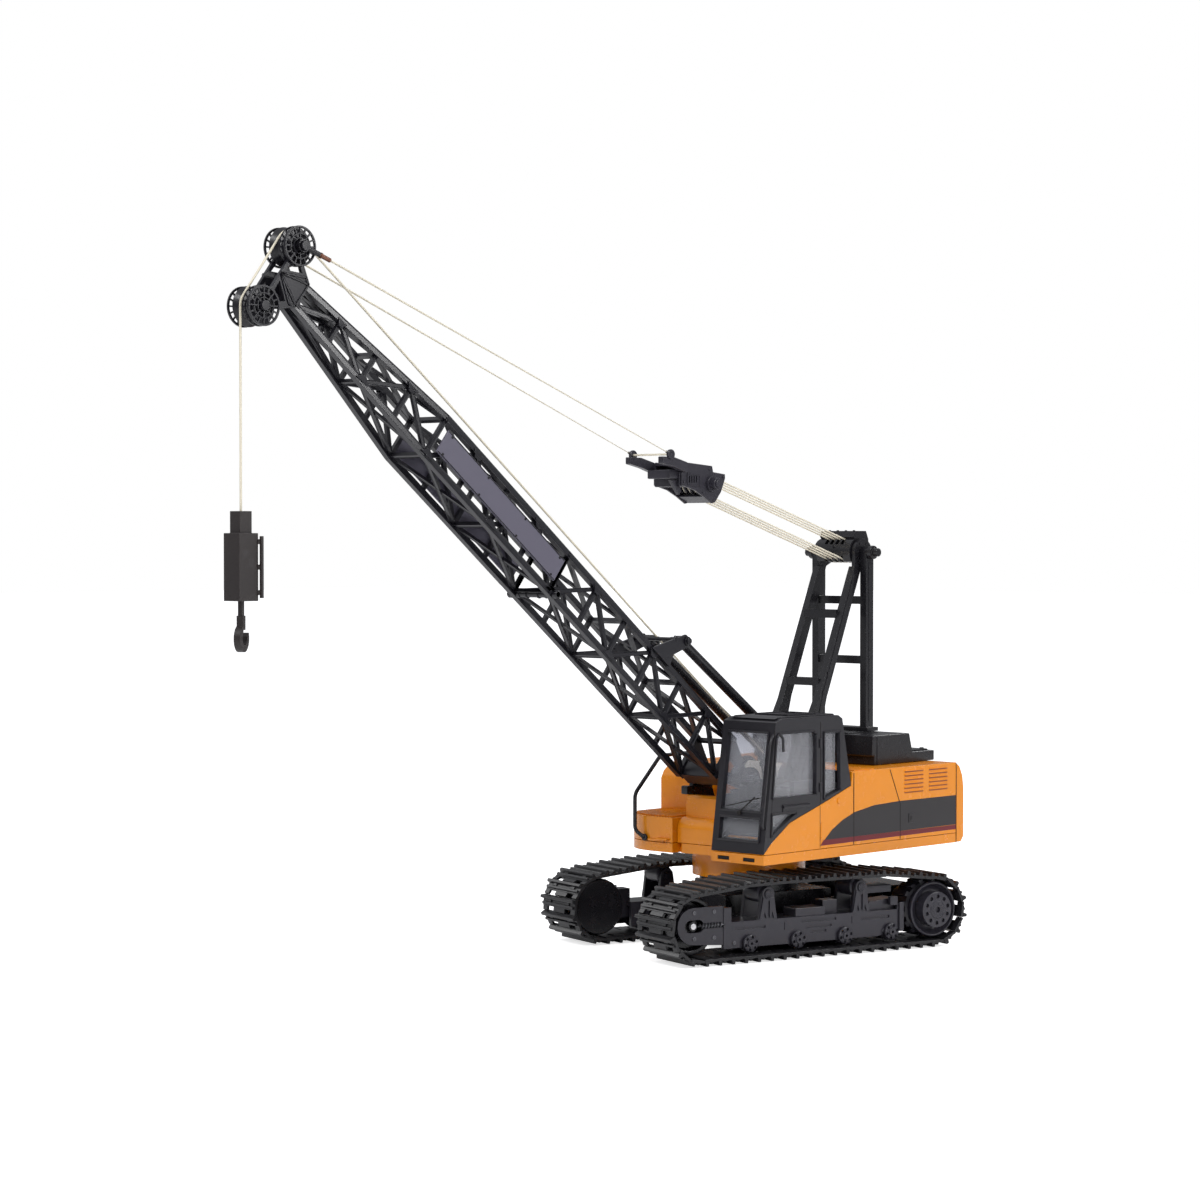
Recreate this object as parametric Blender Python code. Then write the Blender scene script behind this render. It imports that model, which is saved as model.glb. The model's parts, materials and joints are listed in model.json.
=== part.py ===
"""Toy crawler crane with a lattice boom: one named solid for each separate piece.

Sizes are in millimetres and the helpers turn them into metres. The crane faces -Y and its cab is on
the +X side, which is its left. Three frames carry the pieces: the undercarriage, which stands turned a
little under the rest, the superstructure on the slew axis, and the boom with its foot pin at the origin.
"""
import math

import bmesh
import bpy
from mathutils import Matrix, Vector

MM = 0.001
GAP = 0.4                      # play between pieces that touch
SIDES = {"left": 1, "right": -1}

# undercarriage
UNDERCARRIAGE_TURN = -15.67    # degrees under the superstructure at rest
TRACK_IN = 44.0                # inner and outer side of each track
TRACK_OUT = 92.5
WHEEL_Z = 27.3                 # height of the idler and sprocket axles, and the belt's outer radius
IDLER_Y = -100.5
SPROCKET_Y = 107.0
BELT_BAND = 2.6
BELT_GROUSER = 2.9
BELT_IN = WHEEL_Z - BELT_BAND - BELT_GROUSER
SHOES = 50
WHEEL_R = BELT_IN - 0.5
ROLLER_R = 6.5
ROLLER_Z = 12.4
ROLLER_YS = [-53.1 + 41.54 * k for k in range(4)]
CARRIER_R = 7.0
CARRIER_Z = 46.8
CARRIER_YS = [-37.0, 45.0]
FRAME_IN = 56.0                # the two side plates of a track frame
FRAME_OUT = 80.6
PLATE = 3.0
AXLE_R = 2.2

# slewing ring and superstructure
SKIRT_R = 42.4
RING_TEETH = 36
PINION_TEETH = 10
GEAR_MODULE = 1.4
PINION_AT = (-12.0, 13.42)     # from the slew axis, the gears' centre distance away
DECK_Z = 69.5
DECK_TOP = 77.0
HALF_WIDTH = 83.5
BODY_FRONT = -80.8
BODY_REAR = 146.0
BODY_TOP = 131.3
CAB_IN = 34.0
WALL = 2.5

# boom, in its own frame: the foot pin is the origin, -Y runs to the tip and +Z is its upper face
BOOM_FOOT = (-27.7, 124.9)     # y and z
BOOM_ANGLE = 38.32
BAY = 36.9
FOOT_BAYS = 6.69               # from the foot pin to the joint of the two sections
BOOM_X = 19.75
BOOM_Z = 18.06
CHORD = 4.4
STRUT = 1.7                    # half of a lattice bar's width
TIP_BAY = 34.4
TIP_X = 7.2
TIP_TOP = 11.8
TIP_LOW = -7.8
HEAD_IN = 6.0                  # the two cheeks of the boom head
HEAD_OUT = 8.6

# ropes and running gear, in the superstructure's frame
UPPER_SHEAVE = (-447.5, 488.0)
LOWER_SHEAVE = (-477.5, 448.7)
SHEAVE_R = 13.0
ROPE_ON_SHEAVE = 10.6
HOIST_ROPE_R = 0.75
GUIDE = (-104.2, 230.0)
WINCH = (21.6, 123.5)
MAST_SHAFT = (110.8, 291.8)
MAST_SHEAVE = 7.6
HARNESS_AXLE = (-58.5, 342.4)
HARNESS_SHEAVE = 7.2
FALLS_X = [-7.8, -2.6, 2.6, 7.8]
FALL_ROPE_R = 0.55
PENDANT_R = 0.65
PENDANT_EYE = (-107.5, 362.8)
BACKSTOP_X = 15.4
BACKSTOP_HEAD = (-93.4, 228.6)
BACKSTOP_FOOT = (36.9, 135.7)
BACKSTOP_R = 3.75
BACKSTOP_BORE = 2.9
HOOK_Y = LOWER_SHEAVE[0] - ROPE_ON_SHEAVE
HOOK_TOP = 319.7
HOOK_TURN = math.radians(31)
ROPE_DROP = 448.4              # where the hook's rope leaves the lower sheave

MATERIALS = {
    "dark_plastic": ((0.045, 0.042, 0.052, 1), 0.45, 0.0),
    "track_rubber": ((0.03, 0.03, 0.033, 1), 0.6, 0.0),
    "orange_plastic": ((0.79, 0.33, 0.03, 1), 0.35, 0.0),
    "clear_plastic": ((0.75, 0.78, 0.82, 0.35), 0.08, 0.0),
    "seat_plastic": ((0.07, 0.07, 0.08, 1), 0.5, 0.0),
    "steel": ((0.6, 0.6, 0.6, 1), 0.3, 1.0),
    "brass": ((0.55, 0.4, 0.22, 1), 0.35, 1.0),
    "sign_plastic": ((0.2, 0.19, 0.24, 1), 0.4, 0.0),
    "cream_rope": ((0.78, 0.72, 0.58, 1), 0.8, 0.0),
    "circuit_green": ((0.03, 0.2, 0.08, 1), 0.5, 0.0),
    "battery_wrap": ((0.1, 0.12, 0.35, 1), 0.4, 0.0),
}


# ---------------------------------------------------------------- shapes, in millimetres

def joined(*shapes):
    """Puts several shapes into one mesh and frees them."""
    whole = bmesh.new()
    for shape in shapes:
        mesh = bpy.data.meshes.new("joined")
        shape.to_mesh(mesh)
        shape.free()
        whole.from_mesh(mesh)
        bpy.data.meshes.remove(mesh)
    return whole


def moved(shape, offset):
    """Shifts a shape."""
    bmesh.ops.translate(shape, verts=shape.verts, vec=Vector(offset))
    return shape


def placed(shape, matrix):
    """Puts a shape where a matrix says."""
    bmesh.ops.transform(shape, matrix=matrix, verts=shape.verts)
    return shape


def flipped(shape):
    """Mirrors a shape across X = 0 and keeps its faces pointing out."""
    bmesh.ops.scale(shape, verts=shape.verts, vec=Vector((-1, 1, 1)))
    bmesh.ops.reverse_faces(shape, faces=shape.faces)
    return shape


def on_side(shape, sign):
    """Leaves a +X shape where it is, or mirrors it to -X."""
    return shape if sign > 0 else flipped(shape)


def block(low, high):
    """A box between two corners."""
    shape = bmesh.new()
    bmesh.ops.create_cube(shape, size=1)
    size = [b - a for a, b in zip(low, high)]
    middle = [(a + b) / 2 for a, b in zip(low, high)]
    bmesh.ops.scale(shape, verts=shape.verts, vec=Vector(size))
    return moved(shape, middle)


def prism(outline, axis, low, high):
    """An outline pushed along an axis; it is (y, z) for X, (x, z) for Y and (x, y) for Z."""
    order = {"X": lambda a, b: (low, a, b), "Y": lambda a, b: (a, low, b), "Z": lambda a, b: (a, b, low)}
    shape = bmesh.new()
    face = shape.faces.new([shape.verts.new(order[axis](a, b)) for a, b in outline])
    step = {"X": (high - low, 0, 0), "Y": (0, high - low, 0), "Z": (0, 0, high - low)}[axis]
    side = bmesh.ops.extrude_face_region(shape, geom=[face])
    top = [item for item in side["geom"] if isinstance(item, bmesh.types.BMVert)]
    bmesh.ops.translate(shape, verts=top, vec=Vector(step))
    bmesh.ops.recalc_face_normals(shape, faces=shape.faces)
    return shape


def lathe(profile, axis, centre=(0, 0, 0), sides=24):
    """A profile of (along, radius) points, turned about an axis."""
    shape = bmesh.new()
    line = [shape.verts.new((radius, 0, along)) for along, radius in profile]
    edges = [shape.edges.new(pair) for pair in zip(line, line[1:])]
    bmesh.ops.spin(shape, geom=line + edges, cent=(0, 0, 0), axis=(0, 0, 1), angle=math.tau,
                   steps=sides, use_merge=True)
    bmesh.ops.remove_doubles(shape, verts=shape.verts, dist=0.001)
    ends = [edge for edge in shape.edges if edge.is_boundary]
    if ends:
        bmesh.ops.holes_fill(shape, edges=ends)
    bmesh.ops.recalc_face_normals(shape, faces=shape.faces)
    swap = {"X": Matrix.Rotation(math.pi / 2, 4, "Y"), "Y": Matrix.Rotation(-math.pi / 2, 4, "X"),
            "Z": Matrix.Identity(4)}[axis]
    bmesh.ops.transform(shape, matrix=swap, verts=shape.verts)
    return moved(shape, centre)


def disc(axis, centre, radius, low, high, sides=24):
    """A plain cylinder between two places along an axis."""
    return lathe([(low, radius), (high, radius)], axis, centre, sides)


def rod(start, end, radius, sides=8):
    """A cylinder from one point to another."""
    start, end = Vector(start), Vector(end)
    shape = disc("Z", (0, 0, 0), radius, 0, (end - start).length, sides)
    turn = (end - start).to_track_quat("Z", "Y").to_matrix().to_4x4()
    bmesh.ops.transform(shape, matrix=Matrix.Translation(start) @ turn, verts=shape.verts)
    return shape


def arc(centre, radius, start, end, steps):
    """Points on a circle, from one angle in degrees to another."""
    angles = [math.radians(start + (end - start) * k / steps) for k in range(steps + 1)]
    return [(centre[0] + radius * math.cos(a), centre[1] + radius * math.sin(a)) for a in angles]


def inset(points, width):
    """A convex outline with each side moved inwards by one width."""
    middle = (sum(p[0] for p in points) / len(points), sum(p[1] for p in points) / len(points))
    lines = []
    for (ax, ay), (bx, by) in zip(points, points[1:] + points[:1]):
        length = math.hypot(bx - ax, by - ay)
        nx, ny = -(by - ay) / length, (bx - ax) / length
        if nx * (middle[0] - ax) + ny * (middle[1] - ay) < 0:
            nx, ny = -nx, -ny
        lines.append((nx, ny, nx * ax + ny * ay + width))
    corners = []
    for (a1, b1, c1), (a2, b2, c2) in zip(lines[-1:] + lines[:-1], lines):
        scale = a1 * b2 - a2 * b1
        corners.append(((c1 * b2 - c2 * b1) / scale, (a1 * c2 - a2 * c1) / scale))
    return corners


# ---------------------------------------------------------------- objects

def material(name):
    """The named plain material, made once."""
    found = bpy.data.materials.get(name)
    if found:
        return found
    colour, roughness, metallic = MATERIALS[name]
    made = bpy.data.materials.new(name)
    made.use_nodes = True
    shader = made.node_tree.nodes["Principled BSDF"]
    shader.inputs["Base Color"].default_value = colour
    shader.inputs["Roughness"].default_value = roughness
    shader.inputs["Metallic"].default_value = metallic
    shader.inputs["Alpha"].default_value = colour[3]
    return made


def empty(name, parent=None, at=(0, 0, 0)):
    """A frame for other objects."""
    frame = bpy.data.objects.new(name, None)
    bpy.context.collection.objects.link(frame)
    frame.parent = parent
    frame.location = Vector(at) * MM
    return frame


def mesh_object(name, shape):
    """An object from a shape, still in millimetres."""
    mesh = bpy.data.meshes.new(name)
    shape.to_mesh(mesh)
    shape.free()
    made = bpy.data.objects.new(name, mesh)
    bpy.context.collection.objects.link(made)
    return made


def combine(target, shape, operation):
    """Joins a shape to an object or cuts it away, exactly."""
    tool = mesh_object(target.name + "_tool", shape)
    change = target.modifiers.new("change", "BOOLEAN")
    change.operation = operation
    change.solver = "EXACT"
    change.object = tool
    bpy.context.view_layer.update()
    graph = bpy.context.evaluated_depsgraph_get()
    result = bpy.data.meshes.new_from_object(target.evaluated_get(graph))
    target.modifiers.remove(change)
    old = target.data
    target.data = result
    bpy.data.meshes.remove(old)
    unused = tool.data
    bpy.data.objects.remove(tool)
    bpy.data.meshes.remove(unused)


def solid(name, look, parent, base, add=(), cut=(), at=(0, 0, 0), smooth=30):
    """One sub-part: a base shape with shapes joined and cut, its origin at a point in its frame."""
    piece = mesh_object(name, base)
    for shape in add:
        combine(piece, shape, "UNION")
    for shape in cut:
        combine(piece, shape, "DIFFERENCE")
    piece.data.name = name
    place = Matrix.Scale(MM, 4) @ Matrix.Translation(-Vector(at))
    piece.data.transform(place)
    piece.data.shade_smooth()
    piece.data.set_sharp_from_angle(angle=math.radians(smooth))
    piece.data.materials.clear()
    piece.data.materials.append(material(look))
    piece.parent = parent
    piece.location = Vector(at) * MM
    return piece


def rope(name, parent, points, radius):
    """A round rope along a line of points."""
    curve = bpy.data.curves.new(name, "CURVE")
    curve.dimensions = "3D"
    curve.bevel_depth = radius * MM
    curve.bevel_resolution = 1
    curve.use_fill_caps = True
    line = curve.splines.new("POLY")
    line.points.add(len(points) - 1)
    for slot, point in zip(line.points, points):
        slot.co = (point[0] * MM, point[1] * MM, point[2] * MM, 1)
    curve.materials.append(material("cream_rope"))
    made = bpy.data.objects.new(name, curve)
    bpy.context.collection.objects.link(made)
    made.parent = parent
    return made


# ---------------------------------------------------------------- undercarriage

def belt_line(radius):
    """The closed side outline of a track at one distance from the wheel axles."""
    rise = CARRIER_Z + CARRIER_R + GAP + radius - BELT_IN
    bottom = [(y, WHEEL_Z - radius) for y in (-60, -20, 20, 60)]
    rear = arc((SPROCKET_Y, WHEEL_Z), radius, -90, 82, 16)
    top = [(CARRIER_YS[1] + 18, rise - 0.3), (CARRIER_YS[1], rise), (CARRIER_YS[0], rise)]
    top.append((CARRIER_YS[0] - 20, rise - 0.6))
    front = arc((IDLER_Y, WHEEL_Z), radius, 98, 270, 16)
    return bottom + rear + top + front


def spaced(outline, count):
    """Points at equal steps round a closed outline."""
    closed = outline + outline[:1]
    lengths = [math.dist(a, b) for a, b in zip(closed, closed[1:])]
    step = sum(lengths) / count
    points, travelled, index = [], 0.0, 0
    for k in range(count):
        while travelled + lengths[index] < k * step:
            travelled += lengths[index]
            index += 1
        share = (k * step - travelled) / lengths[index]
        (ay, az), (by, bz) = closed[index], closed[index + 1]
        points.append((ay + (by - ay) * share, az + (bz - az) * share))
    return points


def track_outline():
    """The outer outline of a track: a band with one raised grouser for each shoe."""
    middle = spaced(belt_line(BELT_IN + BELT_BAND), SHOES * 4)
    outline = []
    for k, (y, z) in enumerate(middle):
        (by, bz), (ny, nz) = middle[k - 1], middle[(k + 1) % len(middle)]
        length = math.hypot(ny - by, nz - bz)
        raised = BELT_GROUSER if k % 4 in (1, 2) else 0.0
        outline.append((y + (nz - bz) / length * raised, z - (ny - by) / length * raised))
    return outline


def build_track(parent, side, sign):
    """The belt of one side, a closed band of shoes."""
    outer = prism(track_outline(), "X", TRACK_IN, TRACK_OUT)
    inner = prism(belt_line(BELT_IN), "X", TRACK_IN - 5, TRACK_OUT + 5)
    solid(f"track_{side}", "track_rubber", parent, on_side(outer, sign), cut=[on_side(inner, sign)])


def build_side_frame(parent, side, sign):
    """The frame that carries one track's wheels."""
    low, high, top = 9.6, 28.4, 24.6
    plate = [(-69, low), (60, low), (72, 12), (83.5, 12), (83.5, 32), (78, 32), (78, high), (-69, high)]
    nose = arc((IDLER_Y, WHEEL_Z), 13.2, 90, 270, 10) + [(-75, 12.5), (-75, WHEEL_Z + 13.2)]
    outer = prism(plate, "X", FRAME_OUT - PLATE, FRAME_OUT)
    add = [prism(plate, "X", FRAME_IN, FRAME_IN + PLATE),
           block((FRAME_IN + 1, -69, top), (FRAME_OUT - 1, 78, high)),
           block((63, -78.4, 16), (75, -66, 38)),
           block((70, -78.4, 18), (FRAME_OUT - 0.6, -76.5, 36)),
           prism(nose, "X", FRAME_OUT - 2.6, FRAME_OUT),
           block((FRAME_OUT - 2.6, -75.2, 9.6), (FRAME_OUT + 0.6, -68.6, 39))]
    axles = [disc("X", (0, y, ROLLER_Z), AXLE_R + 0.3, 50, 86, 12) for y in ROLLER_YS]
    for y in CARRIER_YS:
        fork = [(y - 8, high - 2), (y + 8, high - 2)] + arc((y, CARRIER_Z), 5.4, 0, 180, 6)
        add.append(prism(fork, "X", FRAME_OUT - PLATE, FRAME_OUT))
        add.append(prism(fork, "X", FRAME_IN, FRAME_IN + PLATE))
        axles.append(disc("X", (0, y, CARRIER_Z), AXLE_R + 0.3, 50, 86, 12))
    slot = arc((IDLER_Y - 2.5, WHEEL_Z), 4.6, 90, 270, 6) + arc((IDLER_Y + 4.5, WHEEL_Z), 4.6, -90, 90, 6)
    grooves = [block((FRAME_OUT - 1, y0, z - 0.9), (FRAME_OUT + 2, y1, z + 0.9))
               for y0, y1, z in ((-65, -39, 23.4), (-8, 23, 25.1), (-3.4, 19, 20.6), (1, 14.3, 17), (45,
                       71, 23.6))]
    cut = axles + [prism(slot, "X", 70, 90)] + grooves
    solid(f"side_frame_{side}", "dark_plastic", parent, on_side(outer, sign),
          [on_side(s, sign) for s in add], [on_side(s, sign) for s in cut])


def build_wheel(parent, name, sign, y, z, profile, add=(), cut=(), sides=24):
    """A wheel or roller that turns about an axle along X."""
    base = lathe(profile, "X", (0, y, z), sides)
    solid(name, "dark_plastic", parent, on_side(base, sign), [on_side(s, sign) for s in add],
          [on_side(s, sign) for s in cut], at=(0, y, z))


def build_wheels(parent, side, sign):
    """Idler, sprocket, rollers and carrier rollers of one side."""
    idler = [(50, 5), (50, WHEEL_R - 1), (52, WHEEL_R), (76, WHEEL_R), (76.6, WHEEL_R - 1),
             (76.6, WHEEL_R - 3.5), (70, WHEEL_R - 4.5), (70, 6), (76.8, 6), (76.8, 3.6), (80.4, 3.6)]
    build_wheel(parent, f"idler_wheel_{side}", sign, IDLER_Y, WHEEL_Z, idler, sides=20)
    teeth = []
    for k in range(16):
        a = math.tau * k / 16
        teeth += [(SPROCKET_Y + r * math.cos(a + d), WHEEL_Z + r * math.sin(a + d))
                  for r, d in ((17, -0.13), (WHEEL_R + 0.1, -0.05), (WHEEL_R + 0.1, 0.05), (17, 0.13))]
    sprocket = [(54, 18), (84, 18), (84.6, WHEEL_R - 1), (86, WHEEL_R - 1), (86, 17.6), (81, 15.6),
                (81, 13.4), (91.4, 13.4), (92.6, 12.4), (92.6, 6.4), (91.2, 6.2), (91.2, 3), (93.2, 3)]
    bolts = [disc("X", (0, SPROCKET_Y + 9.6 * math.cos(a), WHEEL_Z + 9.6 * math.sin(a)), 1.2, 91, 94, 5)
             for a in (math.tau * k / 10 for k in range(10))]
    bore = disc("X", (0, SPROCKET_Y, WHEEL_Z), 3.4, 50, 66, 16)
    build_wheel(parent, f"sprocket_{side}", sign, SPROCKET_Y, WHEEL_Z, sprocket,
                [prism(teeth, "X", 62, 76)], bolts + [bore], sides=20)
    for k, y in enumerate(ROLLER_YS):
        roller = [(52, AXLE_R), (59.4, AXLE_R), (59.4, ROLLER_R), (77.2, ROLLER_R), (77.2, AXLE_R),
                  (81.0, AXLE_R), (81.0, ROLLER_R - 0.3), (83.6, ROLLER_R - 1)]
        build_wheel(parent, f"roller_{side}_{k + 1}", sign, y, ROLLER_Z, roller, sides=10)
    for k, y in enumerate(CARRIER_YS):
        carrier = [(52, AXLE_R), (59.4, AXLE_R), (59.4, CARRIER_R), (77.2, CARRIER_R), (77.2, AXLE_R),
                   (81.0, AXLE_R), (81.0, 4.2), (82.6, 4.2)]
        build_wheel(parent, f"carrier_roller_{side}_{k + 1}", sign, y, CARRIER_Z, carrier, sides=12)


def gear_outline(centre, teeth, tip, root, phase=0.0):
    """A closed gear outline; tip is the tooth's end and root its base, in or out."""
    pitch = math.tau / teeth
    middle = (tip + root) / 2
    half = 0.6 * GEAR_MODULE / middle
    outline = []
    for k in range(teeth):
        a = phase + pitch * k
        outline += [(centre[0] + r * math.cos(a + d), centre[1] + r * math.sin(a + d))
                    for r, d in ((root, -half * 1.35), (tip, -half * 0.6), (tip, half * 0.6), (root,
                            half * 1.35))]
    return outline


def build_chassis(parent):
    """The belly frame with its turning post, the fixed ring gear and the twin travel gearbox."""
    tub = block((-40, -47, 13), (40, 47, 42))
    add = [block((-55.6, y0, 17), (55.6, y1, 27)) for y0, y1 in ((-46, -28), (28, 46))]
    add += [disc("Z", (0, 0, 0), 37, 40, 49.4, 32), disc("Z", (0, 0, 0), 6, 45, 79, 20)]
    add += [block((-34, 40, 13), (34, 91.6, 17)), block((-34, 40, 15), (-29, 91.6, 34)),
            block((29, 40, 15), (34, 91.6, 34))]
    hollow = [block((-36, -43, 9), (36, 43, 38)), disc("Z", (0, 0, 0), 3, 36, 84, 12)]
    solid("chassis_frame", "dark_plastic", parent, tub, add, hollow)
    pitch_r = GEAR_MODULE * RING_TEETH / 2
    ring = disc("Z", (0, 0, 0), 33, 49.8, 57, 36)
    inner = prism(gear_outline((0, 0), RING_TEETH, pitch_r - 0.8, pitch_r + 1.4), "Z", 45, 60)
    solid("slew_ring", "steel", parent, ring, cut=[inner])
    box = block((-43, 92, 15), (43, 124, 41))
    shafts = [disc("X", (0, SPROCKET_Y, WHEEL_Z), 3.0, -64, 64, 16)]
    bosses = [disc("X", (0, SPROCKET_Y, WHEEL_Z), 10, -50, 50, 20)]
    solid("travel_gearbox", "dark_plastic", parent, box, bosses + shafts)


# ---------------------------------------------------------------- superstructure

SADDLE = [(-80.8, 77.4), (-72.4, 85), (-52, 98.4), (-17, 109.3), (17.8, 121)]


def build_deck(parent):
    """Floor with its round skirt, and the two cheeks that hold the boom foot and the winch."""
    z0, z1 = DECK_Z + 0.5, DECK_TOP
    outline = [(HALF_WIDTH, BODY_FRONT), (HALF_WIDTH, BODY_REAR - GAP), (-HALF_WIDTH, BODY_REAR - GAP)]
    outline += arc((-43.5, -21), 40, 180, 270, 8) + [(-22, -61), (-22, -52), (-17, -56), (28, -56),
                                                     (CAB_IN, -50)]
    outline.append((CAB_IN, BODY_FRONT))
    floor = prism(outline, "Z", z0, z1)
    y, z = BOOM_FOOT
    wy, wz = WINCH
    cheek = [(-38, z1 - 2), (-38, 104)] + arc((y, z), 8.6, 190, 20, 8)
    cheek += [(-12, 108), (8, 108)] + arc((wy, wz), 7.4, 160, 20, 6) + [(34, 108), (40, z1 - 2)]
    add = [disc("Z", (0, 0, 0), SKIRT_R, 52, z0 + 3, 40)] + [prism(cheek, "X", x,
            x + 3.4) for x in (23.4, -26.8)]
    hollow = disc("Z", (0, 0, 0), SKIRT_R - 3, 48, z0 + 0.6, 40)
    holes = [disc("Z", (0, 0, 0), 6.5, 60, 80, 20), disc("Z", (*gear_centre(), 0), 4.4, 60, 80, 16),
             disc("X", (0, y, z), 3.1, -30, 30, 16), disc("X", (0, wy, wz), 3.4, -30, 30, 16)]
    slots = [block((x, BODY_FRONT - 2, 71.8), (x + 11, BODY_FRONT + 3, 74.6)) for x in (40, 64)]
    solid("deck_frame", "orange_plastic", parent, floor, add, [hollow] + holes + slots)


def build_hood(parent):
    """The orange body shell round the machinery, with the saddle that the cab sits on."""
    top, low, rear = BODY_TOP, DECK_TOP + GAP, BODY_REAR - GAP
    left = [(SADDLE[0][0], low), *SADDLE[1:], (19.4, top), (rear, top), (rear, low)]
    right = [(-6.3, low), (-6.3, 119), (-3.4, 124.4), (2.6, 129), (10, top), (rear, top), (rear, low)]
    nose = [(-38.6, low), (-56, low), (-56, 86)] + arc((-48, 88), 8, 180, 90, 5)
    nose += [(-46.5, 96), (-46, 110.4), (-44.4, 112.2), (-38.6, 112.2)]
    add = [block((-CAB_IN - 2, 43, low), (CAB_IN + 2, rear, top)), prism(right, "X", -HALF_WIDTH, -CAB_IN),
           prism(nose, "X", -21.5, CAB_IN - GAP), block((CAB_IN - 4, -49.6, low), (CAB_IN + 2, -38.6, 97))]
    in_left = [(-70, low - 5), (-70, 84), (-52, 95.4), (-17, 106.4), (20.5, 118.6), (22, top - WALL),
               (rear - WALL, top - WALL), (rear - WALL, low - 5)]
    in_right = [(-6.3 + WALL, low - 5), (-6.3 + WALL, 117.6), (3, 124), (12, top - WALL),
                (rear - WALL, top - WALL), (rear - WALL, low - 5)]
    cut = [prism(in_left, "X", CAB_IN + WALL, HALF_WIDTH - WALL),
           prism(in_right, "X", -HALF_WIDTH + WALL, -CAB_IN - WALL),
           block((-CAB_IN - WALL - 1, 43 + WALL, low - 5), (CAB_IN + WALL + 1, rear - WALL, top - WALL)),
           block((-19, -53.5, low - 5), (CAB_IN - 6, -36, 92)),
           block((HALF_WIDTH - 1, 20.7, 79), (HALF_WIDTH + 2, 21.5, 120))]
    solid("hood", "orange_plastic", parent, prism(left, "X", CAB_IN, HALF_WIDTH), add, cut)


def build_rear_and_boxes(parent):
    """Counterweight, side box, handrail and the two-tier engine cover."""
    y0, y1 = BODY_REAR, 155.7
    weight = [(y0, DECK_Z + 0.5), (y1 - 3, DECK_Z + 0.5), (y1, 74), (y1, 112), (y1 - 1.5, 121), (y1 - 5, 128),
              (y0, BODY_TOP)]
    solid("counterweight", "orange_plastic", parent, prism(weight, "X", -HALF_WIDTH, HALF_WIDTH))
    low, rear = DECK_TOP + GAP, -6.8
    plan = arc((-43.5, -21), 40, 180, 270, 8) + [(-22, -61), (-22, -39), (-27.4, -39), (-27.4, rear),
                                                 (-HALF_WIDTH, rear)]
    inside = arc((-43.5, -21), 40 - WALL, 180, 270, 8)
    inside += [(-22 - WALL, -61 + WALL), (-22 - WALL, -39 - WALL), (-27.4 - WALL, -39 - WALL),
               (-27.4 - WALL, rear - WALL), (-HALF_WIDTH + WALL, rear - WALL)]
    vents = [block((-69 + k * 7, -50, 90), (-66 + k * 7, -18, 100)) for k in range(6)]
    solid("side_box", "orange_plastic", parent, prism(plan, "Z", low, 95.8),
          cut=[prism(inside, "Z", low - 4, 93.4)] + vents)
    x = -57.0
    rail = [(x + 8, -62.2, 79.8), (x, -64, 84.6), (x, -64, 112), (x, -36, 139), (x, 5, 139.6), (x, 9, 136)]
    rail.append((x, 9, BODY_TOP + GAP))
    build_bent_bar("handrail", parent, rail, 1.5)
    tier = block((-60, 75, BODY_TOP + GAP), (60, 149, 139.5))
    upper = prism([(72, 138.5), (122.3, 138.5), (118, 154), (73, 154)], "X", -60, 60)
    room = block((-57, 78, BODY_TOP - 5), (57, 118, 150))
    solid("engine_cover", "dark_plastic", parent, tier, [upper], [room])


def build_bent_bar(name, parent, points, radius):
    """A bar bent at each point, made of straight rods with a round corner piece at each bend."""
    parts = [rod(a, b, radius, 6) for a, b in zip(points[1:], points[2:])]
    knees = []
    for point in points[1:-1]:
        ball = bmesh.new()
        bmesh.ops.create_icosphere(ball, subdivisions=1, radius=radius * 1.12)
        knees.append(moved(ball, point))
    solid(name, "dark_plastic", parent, rod(points[0], points[1], radius, 6), knees + parts)


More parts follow.
